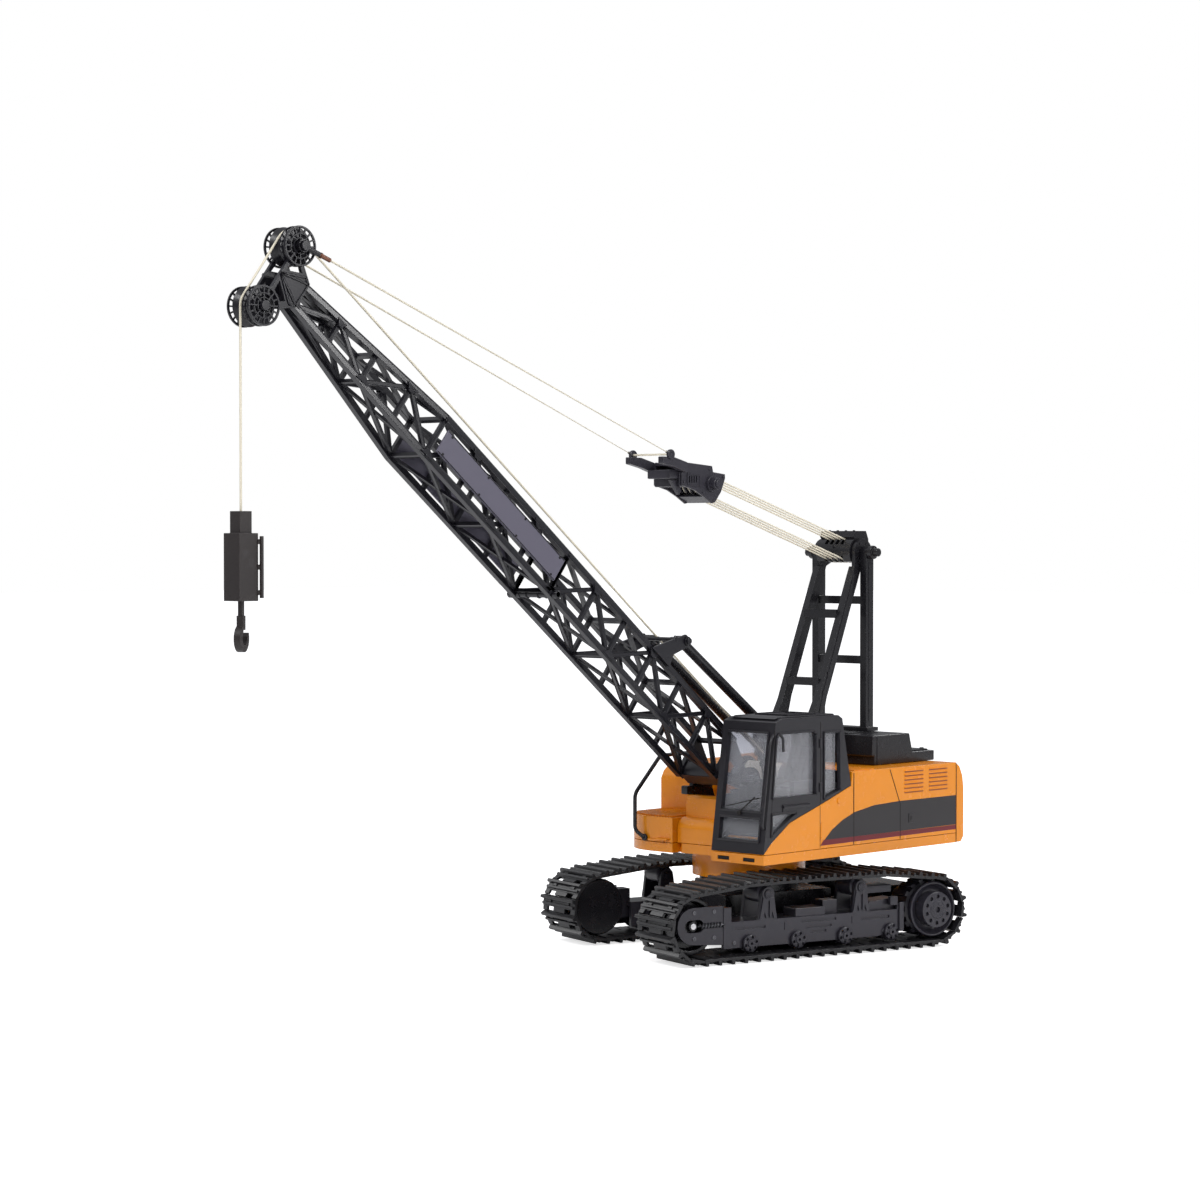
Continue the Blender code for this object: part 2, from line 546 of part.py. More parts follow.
def build_cab(parent):
    """Cab shell with its window openings, the one-piece clear liner, and the seat."""
    gap = 0.4
    saddle = [(y, z + gap) for y, z in SADDLE]
    roof = [(7.6, 171), (3, 173.6), (-60, 173.6), (-67.5, 171)]
    shell = prism(saddle + roof, "X", CAB_IN, HALF_WIDTH)
    inner = [(-77.4, 80), (-72.4, 88), (-52, 101.4), (-17, 112.3), (15, 123.5), (5.4, 168), (-64.5, 168)]
    hollow = prism(inner, "X", CAB_IN + WALL, HALF_WIDTH - WALL)
    door = [(-70.5, 117.5), (-23, 117.5), (-23, 161), (-26, 162.5), (-64, 162.5), (-66, 160)]
    quarter = [(-12.8, 113.8), (4.6, 119), (3.6, 161), (-12.8, 161)]
    lower = [(-71.5, 91), (-46, 105), (-71, 105)]
    wide = [prism(door, "X", 20, 90), prism(quarter, "X", 20, 90), prism(lower, "X", 78, 90)]
    front = [block((40, -90, 108), (77.5, -60, 163)), block((40, -90, 87), (77.5, -68, 102))]
    back = block((42, -5, 132), (76, 20, 162))
    hatch = block((45, -42, 165), (73, -14, 180))
    solid("cab_shell", "dark_plastic", parent, shell, cut=[hollow] + wide + front + [back, hatch])
    t = 1.0
    outer = [(-76.6, 84), (-71.8, 89), (-51.6, 102.4), (-16.8, 113), (3, 119.2), (3, 167.4), (-63.9, 167.4)]
    liner = prism(outer, "X", CAB_IN + WALL + gap, HALF_WIDTH - WALL - gap)
    room = [(-76.6 + t, 80), (-62.8, 170), (8, 170), (8, 80)]
    open_room = prism(room, "X", CAB_IN + WALL + gap + t, HALF_WIDTH - WALL - gap - t)
    solid("cab_glass", "clear_plastic", parent, liner, cut=[open_room])
    seat = prism([(-40, 112.6), (-9, 118), (-2, 150), (-7, 151), (-14, 124), (-40, 121)], "X", 47, 71)
    stand = prism([(-36, 106.9), (-18, 112.5), (-18, 119), (-36, 119)], "X", 52, 66)
    arms = [block((43, -38, 116), (46.6, -14, 127)), block((71.4, -38, 116), (75, -14, 127)),
            block((42, -36, 114.4), (76, -18, 117))]
    desk = block((44, -62, 104), (52, -50, 124))
    joiner = block((45, -58, 107.6), (54, -34.4, 111.5))
    solid("cab_seat", "seat_plastic", parent, seat, [stand] + arms + [desk, joiner])


def gear_centre():
    """Where the slewing pinion stands: inside the ring gear, on its pitch circle."""
    reach = GEAR_MODULE * (RING_TEETH - PINION_TEETH) / 2
    angle = math.atan2(PINION_AT[1], PINION_AT[0])
    return (reach * math.cos(angle), reach * math.sin(angle))


def build_inside(parent):
    """What the body shell holds: battery, control board, slewing motor and its pinion."""
    low = DECK_TOP + GAP
    solid("battery_pack", "battery_wrap", parent, block((-26, 60, low), (26, 130, low + 30)))
    solid("control_board", "circuit_green", parent, block((42, 60, low + 4), (76, 130, low + 6)),
          [block((46, 66, low + 5), (58, 80, low + 12)), block((62, 90, low + 5), (72, 116, low + 11)),
           block((44, 62, low), (48, 66, low + 5)), block((70, 124, low), (74, 128, low + 5))])
    x, y = gear_centre()
    solid("slew_motor", "steel", parent, disc("Z", (x, y, 0), 9, low, 99, 20),
          [disc("Z", (x, y, 0), 3, 98, 101, 12)])
    contact = math.atan2(y, x)
    pitch = math.tau / RING_TEETH
    nearest = (contact - math.radians(UNDERCARRIAGE_TURN)) / pitch
    shift = (nearest - math.floor(nearest)) * pitch
    roll = contact + math.pi / PINION_TEETH - shift * RING_TEETH / PINION_TEETH
    radius = GEAR_MODULE * PINION_TEETH / 2
    gear = prism(gear_outline((x, y), PINION_TEETH, radius + 0.8, radius - 1.4, roll), "Z", 50.4, 56.4)
    shaft = disc("Z", (x, y, 0), 4.0, 56, DECK_TOP - 0.6, 16)
    solid("slew_pinion", "brass", parent, gear, [shaft], at=(x, y, 0))


def build_winch(parent):
    """The powered hoist drum between the cheeks."""
    y, z = WINCH
    drum = [(-30, 3), (-22.4, 3), (-22.4, 13.6), (-20, 13.6), (-20, 9.4), (20, 9.4), (20, 13.6), (22.4, 13.6),
            (22.4, 3), (30, 3)]
    solid("hoist_winch", "dark_plastic", parent, lathe(drum, "X", (0, y, z), 24), at=(0, y, z))
    y, z = BOOM_FOOT
    pin = [(-30.6, 2.7), (26.9 + GAP, 2.7), (26.9 + GAP, 5), (30.4, 5)]
    solid("boom_foot_pin", "steel", parent, lathe(pin, "X", (0, y, z), 16), at=(0, y, z))


def build_mast(parent):
    """The two mast frames, the rope casing at their top, and the luffing drum on its shaft."""
    y, z = MAST_SHAFT
    foot = BODY_TOP + GAP
    leg = [(44.4, foot), (58, foot), (63, 168), (67, 182), (71, 191), (y - 2, 281)]
    leg += [(100.4, 281), (61.6, 191), (57, 180), (50, 168), (45.4, 150)]
    crown = [(100.8, 280), (y - 1.6, 280)] + arc((y, z), 10.6, -50, 195, 14)
    ear = [(33, foot), (46, foot), (46, 141), (37, 140.4), (33.2, 138)]
    sides = []
    for sign in (1, -1):
        sides.append(on_side(prism(leg, "X", 14.6, 20.3), sign))
        sides.append(on_side(prism(crown, "X", 17.0, 20.3), sign))
        sides.append(on_side(prism(ear, "X", 17.8, 20.3), sign))
    rungs = [block((-16, 83, 241.6), (16, 92, 248)), block((-16, 62, 190.6), (16, 71, 196.4)),
             disc("X", (0, *BACKSTOP_FOOT), 1.9, -19, 19, 12)]
    bore = disc("X", (0, y, z), 3.4, -50, 50, 16)
    solid("mast_front_frame", "dark_plastic", parent, block((-16, 45.2, foot), (16, 57, foot + 4.4)),
          sides + rungs, [bore])
    posts = [block((x, y - 4.5, 154.4), (x + 6, y + 4.5, z)) for x in (20.8, -26.8)]
    caps = [disc("X", (0, y, z), 4.5, x, x + 6, 16) for x in (20.8, -26.8)]
    bars = [block((-22, y - 3, h - 3), (22, y + 3, h + 3)) for h in (255, 209)]
    bars.append(block((-30, y - 7, 154.4), (30, y + 6.6, 157.4)))
    bore = disc("X", (0, y, z), 3.4, -50, 50, 16)
    solid("mast_rear_frame", "dark_plastic", parent, posts[0], bars + posts[1:] + caps, [bore])
    casing = [(y + 9, 284), (y + 11, 290), (y + 11, 302), (y + 8, 308.3), (y - 6, 308.3), (y - 7.4, 303.6)]
    casing += arc((y, z), 12.4, 120, 215, 8) + [(y - 8, 284)]
    room = disc("X", (0, y, z), 9.8, -13.4, 13.4, 24)
    slots = [block((x - 1.5, y - 20, z0), (x + 1.5, y, z1)) for x in FALLS_X for z0, z1 in ((298, 303),
            (282, 289))]
    through = disc("X", (0, y, z), 3.4, -50, 50, 16)
    solid("mast_head_casing", "dark_plastic", parent, prism(casing, "X", -16.6, 16.6), cut=[room,
            through] + slots)
    drum = [(-35.5, 3.2), (-31, 3.2), (-31, 5.2), (-27.2, 5.2), (-27.2, 3), (-12.6, 3), (-12.6, 6.7),
            (12.6, 6.7),
            (12.6, 3), (27.2, 3), (27.2, 5.2), (31, 5.2), (31, 3.2), (35.5, 3.2)]
    solid("luffing_drum", "dark_plastic", parent, lathe(drum, "X", (0, y, z), 20), at=(0, y, z))


def build_falls(parent):
    """The luffing rope, reeved four times between the mast head and the floating harness."""
    (my, mz), (hy, hz) = MAST_SHAFT, HARNESS_AXLE
    slope = math.degrees(math.atan2(hz - mz, hy - my))
    points = []
    for k, x in enumerate(FALLS_X):
        for py, pz in arc((hy, hz), HARNESS_SHEAVE, slope - 90, slope + 90, 6):
            points.append((x, py, pz))
        if k + 1 == len(FALLS_X):
            continue
        turn = arc((my, mz), MAST_SHEAVE, slope + 90, slope + 270, 6)
        for j, (py, pz) in enumerate(turn):
            points.append((x + (FALLS_X[k + 1] - x) * j / 6, py, pz))
    first = arc((my, mz), MAST_SHEAVE, slope - 120, slope - 90, 2)
    last = arc((my, mz), MAST_SHEAVE, slope + 90, slope + 120, 2)
    points = [(FALLS_X[0], *p) for p in first] + points + [(FALLS_X[-1], *p) for p in last]
    rope("luffing_rope", parent, points, FALL_ROPE_R)


# ---------------------------------------------------------------- boom

def station(k):
    """Distance from the foot pin to a lattice node; node 0 is where the two sections join."""
    return (FOOT_BAYS + min(k, 4)) * BAY + max(0, k - 4) * TIP_BAY


def section(k):
    """Half-width, top and bottom of the boom at a node: it narrows beyond node 4."""
    share = max(0.0, (k - 4) / 4)
    return (BOOM_X + (TIP_X - BOOM_X) * share, BOOM_Z + (TIP_TOP - BOOM_Z) * share,
            -BOOM_Z + (TIP_LOW + BOOM_Z) * share)


def boom_loft(nodes, shrink, ends=0.0):
    """A box of the boom's section through some nodes, smaller all round by one wall."""
    shape = bmesh.new()
    rings = []
    for k in nodes:
        half, top, low = section(k)
        half, top, low = half - shrink, top - shrink, low + shrink
        push = ends if k == nodes[-1] else (-ends if k == nodes[0] else 0.0)
        y = -(station(k) + push)
        rings.append([shape.verts.new(p) for p in
                      ((half, y, low), (half, y, top), (-half, y, top), (-half, y, low))])
    for near, far in zip(rings, rings[1:]):
        for j in range(4):
            shape.faces.new((near[j], near[(j + 1) % 4], far[(j + 1) % 4], far[j]))
    shape.faces.new(rings[0])
    shape.faces.new(rings[-1])
    bmesh.ops.recalc_face_normals(shape, faces=shape.faces)
    return shape


def lattice_cuts(first, last):
    """The openings between the lattice bars from one even node to another."""
    sides, faces = [], []
    half = CHORD / 2
    for k in range(first, last, 2):
        tops = [(-station(n), section(n)[1] - half) for n in (k, k + 1, k + 2)]
        lows = [(-station(n), section(n)[2] + half) for n in (k, k + 1, k + 2)]
        cells = [(tops[0], tops[1], lows[0]), (lows[0], tops[1], lows[1]),
                 (lows[1], tops[1], lows[2]), (tops[1], tops[2], lows[2])]
        sides += [prism(inset(list(cell), STRUT + 0.3), "X", -30, 30) for cell in cells]
        near = [(section(n)[0] - half, -station(n)) for n in (k, k + 2)]
        far = [(-x, y) for x, y in near]
        middle = (0, (near[0][1] + near[1][1]) / 2)
        windows = [(near[0], far[0], middle), (far[0], far[1], middle), (far[1], near[1], middle),
                   (near[1], near[0], middle)]
        faces += [prism(inset(list(cell), STRUT), "Z", -30, 30) for cell in windows]
    return joined(*sides), joined(*faces)


def build_boom(parent):
    """The two lattice sections, their joint pin and the sign plate."""
    sides, faces = lattice_cuts(-6, 0)
    end = station(-6)
    cheek = [(-end - 3, BOOM_Z), (-end - 3, -BOOM_Z), (-end + 2, -16)] + arc((0, 0), 8.2, -60, 120, 8)
    feet = [prism(cheek, "X", x, x + CHORD) for x in (BOOM_X - CHORD, -BOOM_X)]
    y, z = to_boom(BACKSTOP_HEAD)
    node = -station(-3)
    ear = [(node - 6, BOOM_Z - 3), (node + 9, BOOM_Z - 3), (y + 3.4, z - 3), (y + 3.4, z + 3.4),
           (y - 3.4, z + 3.4)]
    gy, gz = to_boom(GUIDE)
    ears = [prism(ear, "X", x, x + 2.4) for x in (BOOM_X - 0.4, -BOOM_X - 2.0)]
    ears += [prism([(gy - 3, BOOM_Z - 3), (gy + 6, BOOM_Z - 3), (gy + 2.4, gz + 2), (gy - 2.4, gz + 2)],
                   "X", x, x + 2.4)
             for x in (BOOM_X - 0.4, -BOOM_X - 2.0)]
    bars = [rod((-BOOM_X - 0.5, y, z), (BOOM_X + 0.5, y, z), 1.9, 12),
            rod((-BOOM_X - 0.5, gy, gz), (BOOM_X + 0.5, gy, gz), 1.5, 12)]
    py, pz = -station(0) + 3.4, -BOOM_Z + 3.0
    holes = [disc("X", (0, 0, 0), 3.1, -30, 30, 16), disc("X", (0, py, pz), 2.4, -30, 30, 12)]
    solid("boom_lower_section", "dark_plastic", parent, boom_loft((-6, -0.012), 0.0), feet + ears + bars,
          [boom_loft((-6, -0.012), CHORD, 6), sides, faces] + holes)
    sides, faces = lattice_cuts(0, 8)
    solid("boom_upper_section", "dark_plastic", parent, boom_loft((0, 4, 8), 0.0), [],
          [boom_loft((0, 4, 8), CHORD, 6), sides, faces])
    pin = [(-24, 2.4), (-23.4, 3), (-20.2, 3), (-20.2, 2.0), (20.2, 2.0), (20.2, 3), (23.4, 3), (24, 2.4)]
    solid("boom_joint_pin", "dark_plastic", parent, lathe(pin, "X", (0, py, pz), 14))
    plate = [(-station(0.1), 9), (-station(3.9), 9), (-station(3.9), -9), (-station(0.1), -9)]
    solid("boom_sign", "sign_plastic", parent, prism(plate, "X", BOOM_X + GAP, BOOM_X + 1.8))


def build_boom_head(parent):
    """The two-cheek head at the boom's tip, in the boom's frame."""
    upper, lower = to_boom(UPPER_SHEAVE), to_boom(LOWER_SHEAVE)
    start = -station(8) - GAP
    turn = -BOOM_ANGLE
    outline = [(start, TIP_LOW), (start, TIP_TOP)] + arc(upper, 5.2, 5 + turn, 142.6 + turn, 6)
    outline += arc(lower, 5.2, 142.6 + turn, 285 + turn, 6)
    middle, back, low = (to_boom(p) for p in ((-462.4, 470.4), (-441.5, 468.5), (-455.5, 450.5)))
    windows = [prism(inset([upper, middle, back], 2.3), "X", -20, 20),
               prism(inset([lower, low, middle], 2.3), "X", -20, 20)]
    holes = [disc("X", (0, *centre), 2.9, -20, 20, 16) for centre in (upper, lower)]
    block_end = block((-HEAD_OUT, start - 5, TIP_LOW), (HEAD_OUT, start, TIP_TOP))
    cheeks = [prism(outline, "X", x, x + HEAD_OUT - HEAD_IN) for x in (HEAD_IN, -HEAD_OUT)]
    solid("boom_head", "dark_plastic", parent, block_end, cheeks, windows + holes)


def build_sheaves(parent):
    """The two sheave wheels of the boom head, each with spoked side discs on its own shaft."""
    for name, (y, z), end in (("upper_sheave", UPPER_SHEAVE, 16.4), ("lower_sheave", LOWER_SHEAVE, 12.6)):
        half = [(1.4, 9.6), (4.6, SHEAVE_R), (5.4, SHEAVE_R), (5.4, 2.4), (9.2, 2.4), (9.2, SHEAVE_R),
                (10.8, SHEAVE_R), (10.8, 2.4), (end - 1.2, 2.4), (end - 1.2, 3.6), (end, 3.6)]
        profile = [(-x, r) for x, r in reversed(half)] + half
        cuts = []
        for k in range(8):
            a = 360 * k / 8 + 22.5
            sector = arc((y, z), 10.8, a - 15, a + 15, 1) + arc((y, z), 5.4, a + 12, a - 12, 1)
            cuts += [prism(sector, "X", 8.4, 12), prism(sector, "X", -12, -8.4)]
        solid(name, "dark_plastic", parent, lathe(profile, "X", (0, y, z), 16), cut=cuts, at=(0, y, z))


def tangent(centre, radius, point, side):
    """Where a line from a point touches a circle, on one side of it."""
    dy, dz = point[0] - centre[0], point[1] - centre[1]
    angle = math.atan2(dz, dy) + side * math.acos(radius / math.hypot(dy, dz))
    return math.degrees(angle)


def build_hoist_rope(parent):
    """The hoist rope from the winch, over the guide bar and both sheaves; and the part down to the hook."""
    over = (GUIDE[0] + 1.5, GUIDE[1] + 1.9)
    drum_r = 9.4 + HOIST_ROPE_R + 0.2
    start = tangent(WINCH, drum_r, over, -1)
    points = arc(WINCH, drum_r, start - 50, start, 4) + [over]
    contact = tangent(UPPER_SHEAVE, ROPE_ON_SHEAVE, over, 1)
    leave = 142.6
    points += arc(UPPER_SHEAVE, ROPE_ON_SHEAVE, contact, leave, 8)
    points += arc(LOWER_SHEAVE, ROPE_ON_SHEAVE, leave, 180, 4)
    rope("hoist_rope", parent, [(0, y, z) for y, z in points], HOIST_ROPE_R)
    drop = disc("Z", (0, HOOK_Y, 0), HOIST_ROPE_R, HOOK_TOP + GAP, ROPE_DROP, 10)
    solid("hook_rope", "cream_rope", parent, drop, at=(0, HOOK_Y, ROPE_DROP))


def build_harness(parent):
    """The floating harness between the pendants and the luffing rope."""
    y, z = HARNESS_AXLE
    cheek = [(-92.7, 344.2), (-92.7, 359.7), (-66, 357.6)] + arc((y, z + 0.4), 14.6, 85, -95, 10)
    arm = [(-88, 347), (-88, 357.4), (-104, 366.4)] + arc(PENDANT_EYE, 3.8, 80, 230, 6)
    sides = []
    for sign in (1, -1):
        sides.append(on_side(prism(cheek, "X", 13.2, 17.4), sign))
        sides.append(on_side(prism(arm, "X", 14.8, 17.2), sign))
    box = prism([(-92.7, 345), (-92.7, 359.7), (-74, 358), (-74, 341.6)], "X", -14, 14)
    axle = disc("X", (0, y, z), 6.2, -14, 14, 20)
    bosses = disc("X", (0, y, z), 4.6, -18.6, 18.6, 16)
    eyes = disc("X", (0, *PENDANT_EYE), 1.6, -20, 20, 12)
    room = block((-12.4, -90, 340), (12.4, -76.5, 357))
    louvre = [block((x, -88, 346.5), (x + 5, -79, 355)) for x in (16.9, -21.9)]
    solid("harness", "dark_plastic", parent, box, sides + [axle, bosses], [eyes, room] + louvre)


def build_pendants(parent):
    """The two pendants: a clevis on each end of the upper shaft, and one rope through both harness eyes."""
    uy, uz = UPPER_SHEAVE
    ey, ez = PENDANT_EYE
    whole = []
    for sign in (1, -1):
        ring = disc("X", (0, uy, uz), 4.4, 12.0, 14.4, 16)
        neck = rod((13.2, uy + 3.2, uz - 1.2), (13.6, -426, 480.2), 1.7, 10)
        line = rod((13.6, -427, 480.6), (18.6, ey, ez), PENDANT_R, 8)
        whole += [on_side(shape, sign) for shape in (ring, neck, line)]
    cross = rod((-18.9, ey, ez), (18.9, ey, ez), PENDANT_R, 8)
    bore = disc("X", (0, uy, uz), 2.8, -20, 20, 16)
    solid("pendant_rope", "cream_rope", parent, cross, whole, [bore])


def build_backstops(parent):
    """Two telescopic struts from the body to the boom: a rod that slides in a tube."""
    (hy, hz), (qy, qz) = BACKSTOP_HEAD, BACKSTOP_FOOT
    length = math.hypot(qy - hy, qz - hz)
    dy, dz = (qy - hy) / length, (qz - hz) / length
    for side, sign in SIDES.items():
        x = sign * BACKSTOP_X
        def along(start, distance, way=1):
            return (x, start[0] + way * dy * distance, start[1] + way * dz * distance)
        tube = rod(along((hy, hz), 2), along((hy, hz), 122), BACKSTOP_R, 16)
        eye = disc("X", (0, hy, hz), BACKSTOP_R, x - BACKSTOP_R + 0.4, x + BACKSTOP_R - 0.4, 16)
        bore = rod(along((hy, hz), 12), along((hy, hz), 130), BACKSTOP_BORE, 16)
        pivot = disc("X", (0, hy, hz), 2.3, x - 9, x + 9, 14)
        solid(f"backstop_tube_{side}", "dark_plastic", parent, tube, [eye], [bore, pivot], at=(x, hy, hz))
        bar = rod(along((qy, qz), 2, -1), along((qy, qz), 120, -1), 1.5, 10)
        eye = disc("X", (0, qy, qz), 4.0, x - 1.6, x + 1.6, 16)
        pivot = disc("X", (0, qy, qz), 2.3, x - 9, x + 9, 14)
        solid(f"backstop_rod_{side}", "dark_plastic", parent, bar, [eye], [pivot], at=(x, qy, qz))


def build_hook(parent):
    """The square hook block under its cap, a thin post beside it, and the swivelling hook, turned a little."""
    y = HOOK_Y
    core = block((-7.7, y - 7.7, 263.2), (7.7, y + 7.7, 305.9))
    post = block((8.2, y + 8.2, 265), (10.2, y + 10.2, 304))
    bridges = [block((6.8, y + 6.8, z), (8.8, y + 8.8, z + 3)) for z in (267, 283, 299)]
    cap = block((-4.9, y - 4.9, 305), (4.9, y + 4.9, HOOK_TOP))
    socket = [disc("Z", (0, y, 0), 2.4, 250, 268, 16), disc("Z", (0, y, 0), 4.2, 265, 271, 16)]
    solid("hook_block", "dark_plastic", parent, core, [post, cap] + bridges, socket)
    shank = lathe([(250, 2.0), (265.4, 2.0), (265.4, 3.6), (269.6, 3.6), (270.6, 2.2)], "Z", (0, 0, 0), 16)
    cy, cz = 0.6, 239.5
    bow = arc((cy, cz), 8.6, 100, 385, 16) + arc((cy + 0.6, cz + 0.4), 4.6, 370, 130, 12)
    neck = [(-2.4, 245), (2.2, 245), (2.2, 254), (-2.4, 254)]
    turn = Matrix.Translation((0, y, 0)) @ Matrix.Rotation(HOOK_TURN, 4, "Z")
    parts = [placed(shape, turn) for shape in (prism(bow, "X", -2.2, 2.2), prism(neck, "X", -2.2, 2.2), shank)]
    solid("hook", "steel", parent, parts[0], parts[1:], at=(0, y, 262))


def to_boom(point):
    """A (y, z) place of the superstructure, in the boom's frame."""
    y, z = point[0] - BOOM_FOOT[0], point[1] - BOOM_FOOT[1]
    a = math.radians(BOOM_ANGLE)
    return (y * math.cos(a) - z * math.sin(a), y * math.sin(a) + z * math.cos(a))


def main():
    """Clears the scene and builds the crane, then stands it on the ground over its middle."""
    for old in list(bpy.data.objects):
        bpy.data.objects.remove(old)
    crane = empty("crane")
    under = empty("undercarriage", crane)
    under.rotation_euler = (0, 0, math.radians(UNDERCARRIAGE_TURN))
    upper = empty("superstructure", crane)
    boom = empty("boom", upper, (0, *BOOM_FOOT))
    boom.rotation_euler = (-math.radians(BOOM_ANGLE), 0, 0)
    build_chassis(under)
    for side, sign in SIDES.items():
        build_track(under, side, sign)
        build_side_frame(under, side, sign)
        build_wheels(under, side, sign)
    for build in (build_deck, build_hood, build_rear_and_boxes, build_cab, build_inside, build_winch,
                  build_mast,
                  build_falls, build_sheaves, build_hoist_rope, build_harness, build_pendants,
                          build_backstops,
                  build_hook):
        build(upper)
    build_boom(boom)
    build_boom_head(boom)
    centre_on_ground(crane)


def centre_on_ground(crane):
    """Moves the whole crane so that the middle of its bounding box's underside is the origin."""
    bpy.context.view_layer.update()
    corners = [thing.matrix_world @ Vector(corner) for thing in bpy.data.objects if thing.type != "EMPTY"
               for corner in thing.bound_box]
    low = [min(corner[axis] for corner in corners) for axis in range(3)]
    high = [max(corner[axis] for corner in corners) for axis in range(3)]
    crane.location = (-(low[0] + high[0]) / 2, -(low[1] + high[1]) / 2, -low[2])


main()
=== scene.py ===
"""Finished looks of a toy crawler crane: meshes, finishes, ropes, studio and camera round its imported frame.

Sizes are in millimetres in three frames: the undercarriage, the superstructure above it and the boom,
whose -Y runs from the foot pin to the tip. The crane faces -Y and its cab is on the +X side, its left.
"""
from __future__ import annotations

import json
import logging
import math
from dataclasses import dataclass, field
from enum import Enum
from typing import Callable, Iterable, Sequence

import bmesh
import bpy
from mathutils import Matrix, Vector

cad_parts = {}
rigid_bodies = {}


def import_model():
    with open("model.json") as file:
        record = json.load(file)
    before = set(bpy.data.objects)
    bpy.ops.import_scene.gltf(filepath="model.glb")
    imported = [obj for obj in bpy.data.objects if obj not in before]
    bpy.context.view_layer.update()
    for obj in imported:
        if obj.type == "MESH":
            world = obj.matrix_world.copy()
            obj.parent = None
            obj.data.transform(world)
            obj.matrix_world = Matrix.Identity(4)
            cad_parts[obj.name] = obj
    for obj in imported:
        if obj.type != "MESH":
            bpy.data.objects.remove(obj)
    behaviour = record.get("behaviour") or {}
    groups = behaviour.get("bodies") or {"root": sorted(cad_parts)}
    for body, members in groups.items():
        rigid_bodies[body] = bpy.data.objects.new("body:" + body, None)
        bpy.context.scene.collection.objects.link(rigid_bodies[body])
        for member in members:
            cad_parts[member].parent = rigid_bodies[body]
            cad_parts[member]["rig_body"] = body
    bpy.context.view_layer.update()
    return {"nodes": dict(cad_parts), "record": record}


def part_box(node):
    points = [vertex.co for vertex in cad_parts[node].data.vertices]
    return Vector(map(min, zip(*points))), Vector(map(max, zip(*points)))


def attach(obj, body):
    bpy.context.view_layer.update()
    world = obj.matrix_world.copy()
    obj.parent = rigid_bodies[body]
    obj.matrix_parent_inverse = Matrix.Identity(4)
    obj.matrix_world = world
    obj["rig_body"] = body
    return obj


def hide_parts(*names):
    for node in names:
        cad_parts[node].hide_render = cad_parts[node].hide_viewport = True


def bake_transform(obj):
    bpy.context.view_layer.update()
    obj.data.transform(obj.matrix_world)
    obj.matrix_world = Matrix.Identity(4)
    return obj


LOG = logging.getLogger("crane")
MM = 0.001
UNDERCARRIAGE_TURN = math.radians(-15.67)
BOOM_ANGLE = math.radians(38.32)
SIDES = {"left": 1, "right": -1}
SMOOTH_ANGLE = math.radians(40)
ROPE_SMOOTH_ANGLE = math.radians(50)
SOFTEN_ANGLE = math.radians(35)
REFINE_ANGLE = math.radians(32)
MERGE_DISTANCE = 2e-6

# (y, z) of the shafts that several classes share, in the superstructure's frame with the boom at rest.
UPPER_SHEAVE = (-447.5, 488.0)
LOWER_SHEAVE = (-477.5, 448.7)
MAST_SHAFT = (110.8, 291.8)
HARNESS_AXLE = (-58.5, 342.4)
STRUT_PIN = (-93.4, 228.6)
WINCH_SHAFT = (21.6, 123.5)

Point = Sequence[float]


class Axis(Enum):
    """A direction that a shape is pushed or turned along."""

    X = Matrix.Rotation(math.pi / 2, 4, "Y")
    Y = Matrix.Rotation(-math.pi / 2, 4, "X")
    Z = Matrix.Identity(4)

    def place(self, a: float, b: float, along: float) -> Vector:
        """Puts a point of an outline: (y, z) for X, (x, z) for Y and (x, y) for Z."""
        places = {"X": (along, a, b), "Y": (a, along, b), "Z": (a, b, along)}
        return Vector(places[self.name])


class Frames:
    """The frames that sizes are given in, each a matrix from millimetres to the row frame."""

    def __init__(self) -> None:
        """Finds the slew axis and the boom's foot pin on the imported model."""
        low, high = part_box("slew_ring")
        axis = Matrix.Translation(((low.x + high.x) / 2, (low.y + high.y) / 2, 0))
        scale = Matrix.Scale(MM, 4)
        self.upper = axis @ scale
        self.under = axis @ Matrix.Rotation(UNDERCARRIAGE_TURN, 4, "Z") @ scale
        low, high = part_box("boom_foot_pin")
        foot = Vector((axis.translation.x, (low.y + high.y) / 2, (low.z + high.z) / 2))
        self.boom = Matrix.Translation(foot) @ Matrix.Rotation(-BOOM_ANGLE, 4, "X") @ scale
        self.to_boom = self.boom.inverted() @ self.upper

    def in_boom(self, y: float, z: float) -> tuple[float, float]:
        """Gives the (y, z) place of a superstructure point in the boom's frame."""
        point = self.to_boom @ Vector((0, y, z))
        return (point.y, point.z)


# ------------------------------------------------------------------ finishes

def group_of(name: str, inputs: dict[str, tuple[str, object]],
             outputs: dict[str, str]) -> bpy.types.NodeTree:
    """Starts a shader group with named sockets.

    Args:
        name: the group's name.
        inputs: socket name to its kind and default.
        outputs: socket name to its kind.
    Returns:
        The group, with its input and output nodes made.
    """
    tree = bpy.data.node_groups.new(name, "ShaderNodeTree")
    for socket, (kind, default) in inputs.items():
        made = tree.interface.new_socket(socket, in_out="INPUT", socket_type=f"NodeSocket{kind}")
        if default is not None:
            made.default_value = default
    for socket, kind in outputs.items():
        tree.interface.new_socket(socket, in_out="OUTPUT", socket_type=f"NodeSocket{kind}")
    tree.nodes.new("NodeGroupInput").name = "in"
    tree.nodes.new("NodeGroupOutput").name = "out"
    return tree


